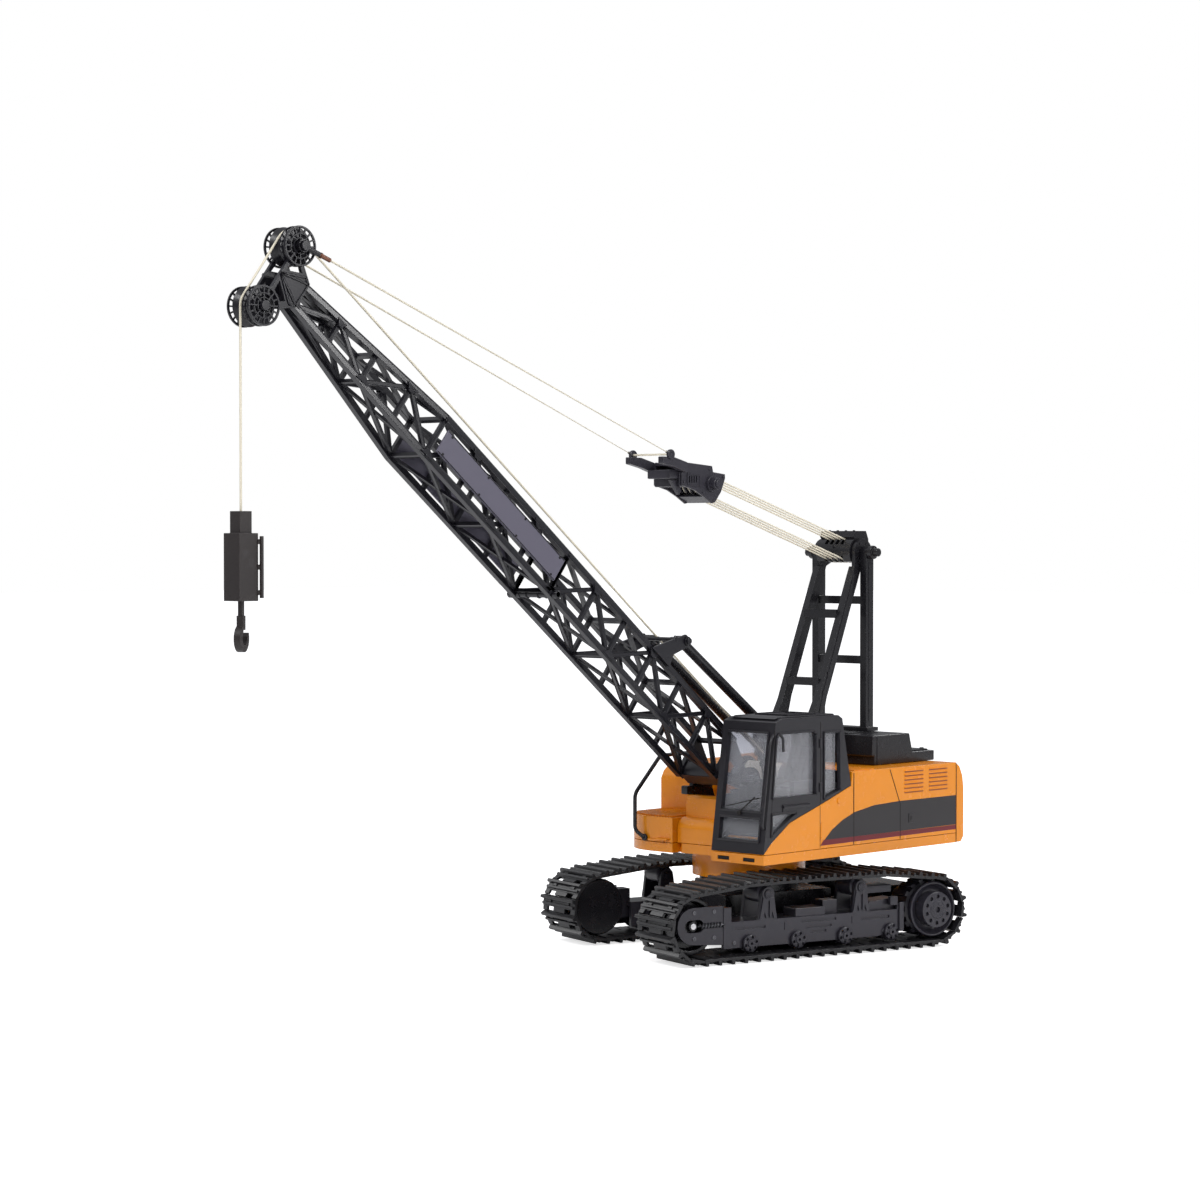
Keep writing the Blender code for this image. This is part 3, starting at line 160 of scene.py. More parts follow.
class Nodes:
    """Short ways to make and join the nodes of one tree."""

    def __init__(self, tree: bpy.types.NodeTree) -> None:
        """Keeps the tree."""
        self.tree = tree

    def new(self, kind: str, **sockets: object) -> bpy.types.Node:
        """Makes a node; a keyword sets an input, or joins another node's output to it."""
        node = self.tree.nodes.new(f"ShaderNode{kind}")
        for key, value in sockets.items():
            self.set(node, key.replace("_", " "), value)
        return node

    def set(self, node: bpy.types.Node, socket: str | int, value: object) -> None:
        """Sets or joins one input socket."""
        target = node.inputs[socket]
        if isinstance(value, bpy.types.NodeSocket):
            self.tree.links.new(value, target)
        else:
            target.default_value = value

    def maths(self, operation: str, a: object, b: object) -> bpy.types.NodeSocket:
        """Makes a clamped sum and returns its result."""
        node = self.tree.nodes.new("ShaderNodeMath")
        node.operation = operation
        node.use_clamp = True
        self.set(node, 0, a)
        self.set(node, 1, b)
        return node.outputs[0]

    def blend(self, share: object, first: object, second: object, mode: str = "MIX") -> bpy.types.NodeSocket:
        """Mixes two colours and returns the result."""
        node = self.tree.nodes.new("ShaderNodeMix")
        node.data_type = "RGBA"
        node.blend_type = mode
        self.set(node, 0, share)
        self.set(node, 6, first)
        self.set(node, 7, second)
        return node.outputs[2]

    def spread(self, value: object, low: float, high: float, to_low: float,
               to_high: float) -> bpy.types.NodeSocket:
        """Maps one span of values to another and returns the result."""
        node = self.tree.nodes.new("ShaderNodeMapRange")
        for index, given in enumerate((value, low, high, to_low, to_high)):
            self.set(node, index, given)
        return node.outputs[0]


def moulding_group() -> bpy.types.NodeTree:
    """Builds the group for moulded plastic: mottled colour, handling marks and a fine spark-eroded grain."""
    found = bpy.data.node_groups.get("moulding")
    if found:
        return found
    tree = group_of("moulding", {
        "Vector": ("Vector", None), "Colour": ("Color", (0.5, 0.5, 0.5, 1)), "Mottle": ("Float", 0.08),
        "Roughness": ("Float", 0.4), "Marks": ("Float", 0.1), "Grain": ("Float", 900.0),
    }, {"Colour": "Color", "Roughness": "Float", "Height": "Float"})
    make, source = Nodes(tree), tree.nodes["in"].outputs
    cloud = make.new("TexNoise", Vector=source["Vector"], Scale=28.0, Detail=4.0).outputs["Fac"]
    fine = make.new("TexNoise", Vector=source["Vector"], Scale=source["Grain"], Detail=2.0).outputs["Fac"]
    rub = make.new("TexNoise", Vector=source["Vector"], Scale=90.0, Detail=6.0, Roughness=0.7).outputs["Fac"]
    shade = make.spread(cloud, 0.3, 0.7, 0.35, 1.0)
    dark = make.blend(1.0, source["Colour"], (0.55, 0.55, 0.6, 1), "MULTIPLY")
    amount = make.maths("MULTIPLY", make.maths("SUBTRACT", 1.0, shade), source["Mottle"])
    marks = make.maths("MULTIPLY", make.spread(rub, 0.55, 0.75, 0.0, 1.0), source["Marks"])
    colour = make.blend(amount, source["Colour"], dark)
    pale = make.blend(make.maths("MULTIPLY", marks, 0.25), colour, (0.3, 0.29, 0.32, 1))
    out = tree.nodes["out"]
    make.set(out, "Colour", pale)
    make.set(out, "Roughness", make.maths("ADD", source["Roughness"], make.maths("MULTIPLY", marks, 0.35)))
    relief = make.maths("ADD", make.maths("MULTIPLY", fine, 0.8), make.maths("MULTIPLY", rub, 0.2))
    make.set(out, "Height", relief)
    return tree


@dataclass(frozen=True)
class Coating:
    """A finish with a name, which makes its material the first time it is asked for."""

    name: str

    def material(self) -> bpy.types.Material:
        """Returns the finish's material, made once."""
        found = bpy.data.materials.get(self.name)
        if found:
            return found
        made = bpy.data.materials.new(self.name)
        made.use_nodes = True
        make = Nodes(made.node_tree)
        shader = made.node_tree.nodes["Principled BSDF"]
        self.wire(make, shader, make.new("TexCoord").outputs["Object"])
        return made

    def wire(self, make: Nodes, shader: bpy.types.Node, where: bpy.types.NodeSocket) -> None:
        """Wires the finish's own nodes; each kind of finish has its own way."""
        raise NotImplementedError(self.name)


@dataclass(frozen=True)
class Plastic(Coating):
    """A moulded plastic, rubber or painted finish."""

    colour: tuple[float, float, float]
    roughness: float = 0.4
    mottle: float = 0.3
    marks: float = 0.12
    grain: float = 1600.0
    bump: float = 0.05
    coat: float = 0.0

    def wire(self, make: Nodes, shader: bpy.types.Node, where: bpy.types.NodeSocket) -> None:
        """Wires the finish's colour, roughness and relief."""
        group = make.tree.nodes.new("ShaderNodeGroup")
        group.node_tree = moulding_group()
        given = {"Vector": where, "Colour": (*self.colour, 1), "Mottle": self.mottle,
                 "Roughness": self.roughness, "Marks": self.marks, "Grain": self.grain}
        for socket, value in given.items():
            make.set(group, socket, value)
        bump = make.new("Bump", Strength=self.bump, Distance=0.0002, Height=group.outputs["Height"])
        make.set(shader, "Base Color", group.outputs["Colour"])
        make.set(shader, "Roughness", group.outputs["Roughness"])
        make.set(shader, "Normal", bump.outputs["Normal"])
        shader.inputs["Coat Weight"].default_value = self.coat
        shader.inputs["Coat Roughness"].default_value = 0.08


@dataclass(frozen=True)
class Metal(Coating):
    """A turned, drawn or plated metal finish with fine tool lines."""

    colour: tuple[float, float, float]
    roughness: float = 0.25
    lines: tuple[float, float, float] = (60.0, 1200.0, 1200.0)

    def wire(self, make: Nodes, shader: bpy.types.Node, where: bpy.types.NodeSocket) -> None:
        """Wires the finish's colour, roughness and relief."""
        stretched = make.new("Mapping", Vector=where, Scale=self.lines).outputs[0]
        lines = make.new("TexNoise", Vector=stretched, Scale=1.0, Detail=3.0).outputs["Fac"]
        stain = make.new("TexNoise", Vector=where, Scale=120.0, Detail=4.0).outputs["Fac"]
        dull = tuple(part * 0.6 for part in self.colour)
        stained = make.blend(make.spread(stain, 0.4, 0.7, 0, 0.6), (*self.colour, 1), (*dull, 1))
        make.set(shader, "Base Color", stained)
        rough = make.spread(lines, 0.3, 0.7, self.roughness * 0.7, self.roughness * 1.5)
        make.set(shader, "Roughness", rough)
        shader.inputs["Metallic"].default_value = 1.0
        bump = make.new("Bump", Strength=0.08, Distance=0.0001, Height=lines)
        make.set(shader, "Normal", bump.outputs["Normal"])


@dataclass(frozen=True)
class Twine(Coating):
    """A laid cord: strands wound at a slant, darkened between them with painted shade, with fuzz and a little
    soiling.
    """

    colour: tuple[float, float, float]
    shade_and_soil: tuple[float, float, float]
    pitch: float = 900.0

    def wire(self, make: Nodes, shader: bpy.types.Node, where: bpy.types.NodeSocket) -> None:
        """Wires the finish's colour, roughness and relief."""
        slanted = make.new("Mapping", Vector=where, Rotation=(0.5, 0.3, 0.4)).outputs[0]
        wave = make.new("TexWave", Vector=slanted, Scale=self.pitch, Distortion=1.2, Detail=2.0)
        strands = wave.outputs["Fac"]
        soil = make.new("TexNoise", Vector=where, Scale=60.0, Detail=5.0).outputs["Fac"]
        # the strand stripes blend towards the darker colour: painted shade in the grooves between strands;
        # the soil noise below uses the same colour for real soiling
        wound = make.blend(make.spread(strands, 0.2, 0.8, 0.0, 0.3), (*self.colour, 1), (*self.shade_and_soil, 1))
        worn = make.blend(make.spread(soil, 0.5, 0.8, 0, 0.5), wound, (*self.shade_and_soil, 1))
        make.set(shader, "Base Color", worn)
        bump = make.new("Bump", Strength=0.2, Distance=0.0001, Height=strands)
        make.set(shader, "Normal", bump.outputs["Normal"])
        shader.inputs["Roughness"].default_value = 0.85
        shader.inputs["Sheen Weight"].default_value = 0.3


@dataclass(frozen=True)
class Glazing(Coating):
    """Clear moulded plastic with a faint tint and moulding ripple."""

    tint: tuple[float, float, float]
    clear: float = 0.9

    def wire(self, make: Nodes, shader: bpy.types.Node, where: bpy.types.NodeSocket) -> None:
        """Wires the finish's colour, roughness and relief."""
        ripple = make.new("TexNoise", Vector=where, Scale=35.0, Detail=1.0).outputs["Fac"]
        bump = make.new("Bump", Strength=0.05, Distance=0.0005, Height=ripple)
        make.set(shader, "Normal", bump.outputs["Normal"])
        make.set(shader, "Roughness", make.spread(ripple, 0.3, 0.7, 0.02, 0.06))
        shader.inputs["Base Color"].default_value = (*self.tint, 1)
        shader.inputs["Transmission Weight"].default_value = self.clear
        shader.inputs["IOR"].default_value = 1.46


class Finish(Enum):
    """The finishes of the crane."""

    ORANGE = Plastic("orange_gloss", (0.8, 0.262, 0.004), 0.27, 0.12, 0.05, 2200.0, 0.02, 0.1)
    DARK = Plastic("dark_satin", (0.009, 0.0085, 0.011), 0.27, 0.35, 0.1, 1600.0, 0.02)
    BOOM = Plastic("boom_satin", (0.011, 0.0105, 0.0145), 0.28, 0.3, 0.05, 1600.0, 0.012)
    # black satin plastic given a lighter grey base: painted reflection of the bright studio
    GREY = Plastic("frame_satin_painted_reflection", (0.03, 0.028, 0.037), 0.3, 0.25, 0.12, 1600.0, 0.02)
    CAB = Plastic("cab_satin", (0.015, 0.014, 0.018), 0.32, 0.2, 0.08, 2400.0, 0.03)
    TRACK = Plastic("track_shoe", (0.012, 0.0115, 0.0135), 0.38, 0.5, 0.2, 900.0, 0.04)
    # a darker orange for the louvre and grille slots: painted shade in the openings
    GROOVE = Plastic("orange_slot_shade", (0.3, 0.07, 0.003), 0.5, 0.1, 0.0)
    SEAM = Plastic("seam_shadow", (0.006, 0.004, 0.003), 0.8, 0.1, 0.0)
    DECAL = Plastic("decal_charcoal", (0.019, 0.016, 0.018), 0.4, 0.15, 0.05, 3000.0, 0.01)
    RED = Plastic("decal_red", (0.15, 0.006, 0.01), 0.4, 0.15, 0.05, 3000.0, 0.01)
    SIGN = Plastic("sign_grey", (0.105, 0.098, 0.135), 0.42, 0.1, 0.06, 3000.0, 0.01)
    SEAT = Plastic("seat_vinyl", (0.02, 0.02, 0.025), 0.5, 0.3, 0.1, 1200.0, 0.2)
    BROWN = Plastic("block_brown", (0.018, 0.0125, 0.012), 0.45, 0.4, 0.2, 1100.0, 0.1)
    GREEN = Plastic("circuit_green", (0.02, 0.16, 0.07), 0.45, 0.3, 0.05)
    BLUE = Plastic("battery_blue", (0.05, 0.09, 0.3), 0.35, 0.2, 0.1)
    STEEL = Metal("bright_steel", (0.72, 0.72, 0.74), 0.22)
    DULL = Metal("dull_steel", (0.16, 0.16, 0.175), 0.38)
    BRASS = Metal("brass", (0.72, 0.5, 0.22), 0.3)
    COPPER = Metal("copper_ferrule", (0.2, 0.1, 0.07), 0.35)
    # the second colour is both the painted shade between strands and the soiling
    ROPE = Twine("cream_rope", (0.4, 0.34, 0.215), (0.2, 0.155, 0.09))
    GLASS = Glazing("cab_glazing", (0.9, 0.91, 0.96), 0.86)

    def dress(self, thing: bpy.types.Object) -> None:
        """Gives a piece this finish alone."""
        thing.data.materials.clear()
        thing.data.materials.append(self.value.material())


# ------------------------------------------------------------------ shapes

def arc(centre: Point, radius: float, start: float, end: float, steps: int) -> list[tuple[float, float]]:
    """Gives points on a circle between two angles in degrees."""
    angles = (math.radians(start + (end - start) * k / steps) for k in range(steps + 1))
    return [(centre[0] + radius * math.cos(a), centre[1] + radius * math.sin(a)) for a in angles]


def ring_of(centre: Point, radius: float, count: int, phase: float = 0.0) -> list[tuple[float, float]]:
    """Gives evenly spaced points round a circle."""
    return arc(centre, radius, phase, phase + 360 * (count - 1) / count, count - 1)


def span(sign: int, low: float, high: float) -> list[float]:
    """Gives two places across the middle plane on one side, the lower one first."""
    return sorted((sign * low, sign * high))


class Shape:
    """A mesh being modelled in the millimetres of one frame."""

    def __init__(self) -> None:
        """Starts with nothing."""
        self.mesh = bmesh.new()

    def _soften(self, verts: Iterable[bmesh.types.BMVert], width: float) -> None:
        """Rounds the sharp edges among some vertices."""
        if width <= 0:
            return
        chosen = set(verts)
        edges = [edge for edge in self.mesh.edges if edge.verts[0] in chosen and edge.verts[1] in chosen
                 and len(edge.link_faces) == 2 and edge.calc_face_angle(0) > SOFTEN_ANGLE]
        bmesh.ops.bevel(self.mesh, geom=edges, offset=width, offset_type="OFFSET", affect="EDGES",
                        segments=2, profile=0.5, material=-1, clamp_overlap=True)

    def box(self, low: Point, high: Point, bevel: float = 0.3, turn: Matrix | None = None) -> Shape:
        """Adds a box between two corners, its edges rounded."""
        middle = (Vector(low) + Vector(high)) / 2
        size = Vector(high) - Vector(low)
        place = Matrix.Translation(middle) @ Matrix.Diagonal((*size, 1))
        made = bmesh.ops.create_cube(self.mesh, size=1, matrix=(turn or Matrix.Identity(4)) @ place)
        self._soften(made["verts"], bevel)
        return self

    def prism(self, axis: Axis, outline: Sequence[Point], low: float, high: float,
              bevel: float = 0.3) -> Shape:
        """Adds an outline pushed along an axis."""
        verts = [self.mesh.verts.new(axis.place(a, b, low)) for a, b in outline]
        face = self.mesh.faces.new(verts)
        grown = bmesh.ops.extrude_face_region(self.mesh, geom=[face])
        top = [item for item in grown["geom"] if isinstance(item, bmesh.types.BMVert)]
        bmesh.ops.translate(self.mesh, verts=top, vec=axis.place(0, 0, high - low))
        faces = {f for v in verts + top for f in v.link_faces}
        bmesh.ops.recalc_face_normals(self.mesh, faces=list(faces))
        self._soften(verts + top, bevel)
        return self

    def lathe(self, axis: Axis, centre: Point, profile: Sequence[Point], sides: int = 32) -> Shape:
        """Adds a profile of (along, radius) points turned about an axis, with a face on open ends."""
        made = bmesh.new()
        line = [made.verts.new((radius, 0, along)) for along, radius in profile]
        edges = [made.edges.new(pair) for pair in zip(line, line[1:])]
        bmesh.ops.spin(made, geom=line + edges, cent=(0, 0, 0), axis=(0, 0, 1), angle=math.tau, steps=sides,
                       use_merge=True)
        bmesh.ops.remove_doubles(made, verts=made.verts, dist=0.0005)
        rims = [edge for edge in made.edges if edge.is_boundary]
        if rims:
            bmesh.ops.holes_fill(made, edges=rims)
        bmesh.ops.recalc_face_normals(made, faces=made.faces)
        bmesh.ops.transform(made, matrix=Matrix.Translation(centre) @ axis.value, verts=made.verts)
        return self.take(made)

    def disc(self, axis: Axis, centre: Point, radius: float, low: float, high: float, sides: int = 24,
             bevel: float = 0.3) -> Shape:
        """Adds a short cylinder with rounded rims."""
        b = min(bevel, radius / 2, (high - low) / 2)
        profile = [(low, radius - b), (low + b * 0.3, radius - b * 0.3), (low + b, radius),
                   (high - b, radius), (high - b * 0.3, radius - b * 0.3), (high, radius - b)]
        return self.lathe(axis, centre, profile, sides)

    def rod(self, start: Point, end: Point, radius: float, sides: int = 12) -> Shape:
        """Adds a cylinder between two points."""
        start, end = Vector(start), Vector(end)
        turn = (end - start).to_track_quat("Z", "Y").to_matrix().to_4x4()
        place = Matrix.Translation((start + end) / 2) @ turn
        bmesh.ops.create_cone(self.mesh, cap_ends=True, segments=sides, radius1=radius, radius2=radius,
                              depth=(end - start).length, matrix=place)
        return self

    def beam(self, start: Point, end: Point, facing: Point, width: float, depth: float,
             channel: float = 0.0) -> Shape:
        """Adds a straight bar of rectangular section, with a sunk channel along its outer face.

        Args:
            start: one end of its middle line.
            end: the other end.
            facing: the direction of the outer face.
            width: its size across the face.
            depth: its size along the facing direction.
            channel: how deep the channel is.
        Returns:
            This shape.
        """
        start, end = Vector(start), Vector(end)
        along = (end - start).normalized()
        out = Vector(facing)
        out = (out - along * out.dot(along)).normalized()
        across = out.cross(along)
        place = Matrix.Identity(4)
        for row in range(3):
            place[row][0], place[row][1], place[row][2] = along[row], across[row], out[row]
        place.translation = (start + end) / 2
        size = Matrix.Diagonal(((end - start).length, width, depth, 1))
        made = bmesh.ops.create_cube(self.mesh, size=1, matrix=place @ size)
        if channel > 0:
            outer = max({f for v in made["verts"] for f in v.link_faces}, key=lambda f: f.normal.dot(out))
            bmesh.ops.inset_region(self.mesh, faces=[outer], thickness=width * 0.24, depth=0)
            bmesh.ops.translate(self.mesh, verts=outer.verts, vec=-out * channel)
        return self

    def ball(self, centre: Point, radius: float, flat: Point = (1, 1, 1)) -> Shape:
        """Adds a rounded knob."""
        place = Matrix.Translation(centre) @ Matrix.Diagonal((*flat, 1))
        bmesh.ops.create_uvsphere(self.mesh, u_segments=16, v_segments=10, radius=radius, matrix=place)
        return self

    def pipe(self, points: Sequence[Point], radius: float, sides: int = 12) -> Shape:
        """Adds a bent bar through some points, its corners rounded by extra stations."""
        smooth = [Vector(points[0])]
        for before, here, after in zip(points, points[1:], points[2:]):
            before, here, after = Vector(before), Vector(here), Vector(after)
            reach = min(radius * 2.6, (here - before).length / 2.2, (after - here).length / 2.2)
            first = here + (before - here).normalized() * reach
            last = here + (after - here).normalized() * reach
            smooth += [(first * (1 - t) + here * t) * (1 - t) + (here * (1 - t) + last * t) * t
                       for t in (0, 0.25, 0.5, 0.75, 1)]
        smooth.append(Vector(points[-1]))
        rings = []
        side = None
        for k, point in enumerate(smooth):
            ahead = (smooth[min(k + 1, len(smooth) - 1)] - smooth[max(k - 1, 0)]).normalized()
            side = (side - ahead * side.dot(ahead)).normalized() if side else ahead.orthogonal().normalized()
            other = ahead.cross(side)
            angles = [math.tau * j / sides for j in range(sides)]
            rings.append([self.mesh.verts.new(point + side * math.cos(a) * radius
                                              + other * math.sin(a) * radius) for a in angles])
        edges = [[self.mesh.edges.new((ring[j], ring[(j + 1) % sides])) for j in range(sides)]
                 for ring in rings]
        made = []
        for near, far in zip(edges, edges[1:]):
            made += bmesh.ops.bridge_loops(self.mesh, edges=near + far)["faces"]
        for ring in (rings[0], rings[-1]):
            made.append(self.mesh.faces.new(ring))
        bmesh.ops.recalc_face_normals(self.mesh, faces=made)
        return self

    def take(self, made: bmesh.types.BMesh) -> Shape:
        """Adds another mesh and frees it."""
        copy = bpy.data.meshes.new("part")
        made.to_mesh(copy)
        made.free()
        self.mesh.from_mesh(copy)
        bpy.data.meshes.remove(copy)
        return self

    def copy_of(self, other: Shape, place: Matrix) -> Shape:
        """Adds a copy of another shape, moved."""
        made = other.mesh.copy()
        bmesh.ops.transform(made, matrix=place, verts=made.verts)
        if place.determinant() < 0:
            bmesh.ops.reverse_faces(made, faces=made.faces)
        return self.take(made)

    def without(self, tool: Shape) -> Shape:
        """Cuts another shape away, exactly."""
        first = as_object(self.mesh, "cut_base")
        second = as_object(tool.mesh, "cut_tool")
        change = first.modifiers.new("cut", "BOOLEAN")
        change.operation, change.solver, change.object = "DIFFERENCE", "EXACT", second
        change.use_self = True
        bpy.context.view_layer.update()
        result = bpy.data.meshes.new_from_object(first.evaluated_get(bpy.context.evaluated_depsgraph_get()))
        self.mesh = bmesh.new()
        self.mesh.from_mesh(result)
        for thing in (first, second):
            mesh = thing.data
            bpy.data.objects.remove(thing)
            bpy.data.meshes.remove(mesh)
        bpy.data.meshes.remove(result)
        return self


def as_object(mesh: bmesh.types.BMesh, name: str) -> bpy.types.Object:
    """Makes an object of a bmesh and frees it."""
    data = bpy.data.meshes.new(name)
    mesh.to_mesh(data)
    mesh.free()
    made = bpy.data.objects.new(name, data)
    bpy.context.scene.collection.objects.link(made)
    return made


def shade(thing: bpy.types.Object) -> None:
    """Shades a piece smooth up to an angle, with its large faces kept flat."""
    thing.data.shade_smooth()
    thing.data.set_sharp_from_angle(angle=SMOOTH_ANGLE)
    weigh = thing.modifiers.new("flat faces", "WEIGHTED_NORMAL")
    weigh.keep_sharp = True
    weigh.weight = 80


class Workshop:
    """Makes finished pieces in the crane's frames and reports them."""

    def __init__(self, frames: Frames, nodes: dict[str, bpy.types.Object], slots: dict[str, str]) -> None:
        """Keeps the frames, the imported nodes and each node's slot."""
        self.frames = frames
        self.nodes = nodes
        self.slots = slots

    def finish(self, shape: Shape, name: str, frame: Matrix, body: str, finish: Finish,
               replaces: Sequence[str] = (), slot: str = "") -> bpy.types.Object:
        """Turns a shape into a piece that rides on a body.

        Args:
            shape: the model, in the frame's millimetres.
            name: the piece's name.
            frame: the matrix from those millimetres to the row frame.
            body: the body that it rides on.
            finish: its finish.
            replaces: the nodes that it stands for.
            slot: the record's slot, found from the first node if left out; it is not used.
        Returns:
            The piece.
        """
        bmesh.ops.transform(shape.mesh, matrix=frame, verts=shape.mesh.verts)
        piece = as_object(shape.mesh, name)
        finish.dress(piece)
        shade(piece)
        if replaces:
            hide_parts(*replaces)
            slot = slot or self.slots[replaces[0]]
        slot or "dark_plastic"
        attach(piece, body)
        LOG.info("%s on %s", name, body)
        return piece

    def refine(self, node: str, finish: Finish, edge: float = 0.3, segments: int = 2) -> bpy.types.Object:
        """Makes a piece from a node's own solid, with its edges rounded.

        Args:
            node: the node.
            finish: the piece's finish.
            edge: how wide its edges are rounded, in millimetres.
            segments: the steps of the rounding.
        Returns:
            The piece.
        """
        source = self.nodes[node]
        mesh = bmesh.new()
        mesh.from_mesh(source.data)
        bmesh.ops.remove_doubles(mesh, verts=mesh.verts, dist=MERGE_DISTANCE)
        bmesh.ops.dissolve_limit(mesh, angle_limit=math.radians(0.6), verts=mesh.verts, edges=mesh.edges)
        sharp = [e for e in mesh.edges if len(e.link_faces) == 2 and e.calc_face_angle(0) > REFINE_ANGLE]
        if edge > 0:
            bmesh.ops.bevel(mesh, geom=sharp, offset=edge * MM, offset_type="OFFSET", affect="EDGES",
                            segments=segments, profile=0.5, material=-1, clamp_overlap=True)
        bmesh.ops.triangulate(mesh, faces=[f for f in mesh.faces if len(f.verts) > 4])
        piece = as_object(mesh, f"{node}_shell")
        finish.dress(piece)
        shade(piece)
        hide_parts(node)
        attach(piece, source["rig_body"])
        LOG.info("%s refined", node)
        return piece


# ------------------------------------------------------------------ undercarriage

@dataclass
class Undercarriage:
    """Tracks, side frames, wheels and rollers."""

    shop: Workshop
    track_in: float = 44.0
    track_out: float = 92.5
    wheel_z: float = 27.3
    idler_y: float = -100.5
    sprocket_y: float = 107.0
    belt_in: float = 21.8
    shoes: int = 50
    roller_z: float = 12.4
    roller_ys: tuple[float, ...] = (-53.1, -11.56, 29.98, 71.52)
    carrier_z: float = 46.8
    carrier_ys: tuple[float, ...] = (-37.0, 45.0)
    plate_x: float = 80.6

    def build(self) -> None:
        """Makes both sides and what lies between them."""
        for side, sign in SIDES.items():
            mirror = Matrix.Diagonal((sign, 1, 1, 1))
            self.track(side, mirror)
            self.side_frame(side, mirror)
            self.wheels(side, mirror)
        for node, finish, edge in (("chassis_frame", Finish.DARK, 0.6), ("slew_ring", Finish.DULL, 0),
                                   ("travel_gearbox", Finish.DARK, 0.8)):
            self.shop.refine(node, finish, edge)

    def line(self) -> list[tuple[float, float]]:
        """Gives the belt's inner outline in (y, z)."""
        rise = self.carrier_z + 7.4
        bottom = [(y, self.wheel_z - self.belt_in) for y in (-60, -20, 20, 60)]
        rear = arc((self.sprocket_y, self.wheel_z), self.belt_in, -90, 82, 24)
        front = arc((self.idler_y, self.wheel_z), self.belt_in, 98, 270, 24)
        first, last = self.carrier_ys
        top = [(last + 18, rise - 0.3), (last, rise), (first, rise), (first - 20, rise - 0.6)]
        return bottom + rear + top + front

    def shoe(self, pitch: float) -> Shape:
        """Makes one shoe: X across, Y along the track and Z outwards, with its knuckles to the next one."""
        low, high = self.track_in, self.track_out
        shoe = Shape().box((low + 0.4, -0.4 * pitch, 0.4), (high - 0.4, 0.36 * pitch, 2.7), 0.35)
        grouser = [(-0.38 * pitch, 2.5), (-0.33 * pitch, 5.5), (-0.14 * pitch, 5.5), (-0.08 * pitch, 2.5)]
        ridge = [(0.06 * pitch, 2.5), (0.1 * pitch, 4.3), (0.24 * pitch, 4.3), (0.3 * pitch, 2.5)]
        shoe.prism(Axis.X, grouser, low + 0.2, high - 0.2, 0.25)
        shoe.prism(Axis.X, ridge, low + 1.6, high - 1.6, 0.2)
        for x0, x1 in ((low + 0.6, low + 7), (low + 16, high - 16), (high - 7, high - 0.6)):
            shoe.box((x0, 0.3 * pitch, 0.5), (x1, 0.66 * pitch, 2.3), 0.2)
        for x in (low + 11, high - 11):
            shoe.box((x - 2.6, -0.12 * pitch, 2.4), (x + 2.6, 0.06 * pitch, 3.6), 0.2)
        return shoe

    def track(self, side: str, mirror: Matrix) -> None:
        """Lays the shoes of one track round its wheels."""
        outline = self.line()
        closed = outline + outline[:1]
        spans = [math.dist(a, b) for a, b in zip(closed, closed[1:])]
        pitch = sum(spans) / self.shoes
        shoe, belt = self.shoe(pitch), Shape()
        index, travelled = 0, 0.0
        for k in range(self.shoes):
            while travelled + spans[index] < k * pitch:
                travelled += spans[index]
                index += 1
            share = (k * pitch - travelled) / spans[index]
            (ay, az), (by, bz) = closed[index], closed[index + 1]
            angle = math.atan2(bz - az, by - ay)
            place = Matrix.Translation((0, ay + (by - ay) * share, az + (bz - az) * share))
            turn = Matrix.Rotation(angle, 4, "X") @ Matrix.Diagonal((1, 1, -1, 1))
            belt.copy_of(shoe, mirror @ place @ turn)
        shoe.mesh.free()
        self.shop.finish(belt, f"track_{side}_shoes", self.shop.frames.under, "undercarriage", Finish.TRACK,
                         [f"track_{side}"])

    def side_frame(self, side: str, mirror: Matrix) -> None:
        """Dresses one side frame: forks, ribs, screws, the tensioner's spring and a bright steel disc at the
        idler's axle that stands in for the light seen through the axle hole.
        """
        under, shop = self.shop.frames.under, self.shop
        # the side frame's grey is painted studio reflection on black satin plastic
        shop.refine(f"side_frame_{side}", Finish.GREY, 0.35)
        ribs, x = Shape(), self.plate_x
        for y in self.carrier_ys:
            for lean in (-1, 1):
                ribs.prism(Axis.X, [(y + lean * 1.2, 44), (y + lean * 4.6, 44), (y + lean * 7.4, 29),
                                    (y + lean * 4.8, 29), (y + lean * 3.2, 34), (y + lean * 2.0, 29.4),
                                    (y + lean * 1.0, 30)], x - 0.2, x + 1.1, 0.2)
            ribs.disc(Axis.X, (0, y, self.carrier_z), 5.2, x - 0.2, x + 0.9, 24, 0.3)
        for y, z in ((-22.5, 24), (37, 24.6)):
            ribs.box((x - 0.2, y, z - 4), (x + 0.5, y + 1.3, z + 1.5), 0.15)
        ribs.box((x - 0.2, 79.2, 12.6), (x + 1.6, 83.2, 33.6), 0.4)
        ribs.box((x - 3, 71.8, 31.6), (x + 0.3, 78.6, 38), 0.4)
        ribs.box((63, -12, 28.2), (79.4, 14, 34.4), 0.6).box((61, 17, 28.2), (72, 30, 38), 0.6)
        ribs.prism(Axis.X, [(54, 28.2), (82, 28.2), (80, 36.5), (56, 34.8)], 60, 76, 0.5)
        ribs.box((60, 52, 41), (76, 76, 46.5), 0.6)
        self.mirrored(ribs, mirror)
        shop.finish(ribs, f"side_frame_{side}_ribs", under, "undercarriage", Finish.GREY,
                    slot="dark_plastic")
        screws = Shape()
        spots = [(-99.7, 37), (-83.0, 37), (-99.7, 18.4), (-83.0, 18.4), (-66, 13.4), (66, 13.4)]
        for y, z in spots:
            head = Shape().disc(Axis.X, (0, y, z), 1.55, x - 0.3, x + 0.6, 14, 0.25)
            cross = Shape().box((x + 0.1, y - 1.0, z - 0.2), (x + 2, y + 1.0, z + 0.2), 0)
            cross.box((x + 0.1, y - 0.2, z - 1.0), (x + 2, y + 0.2, z + 1.0), 0)
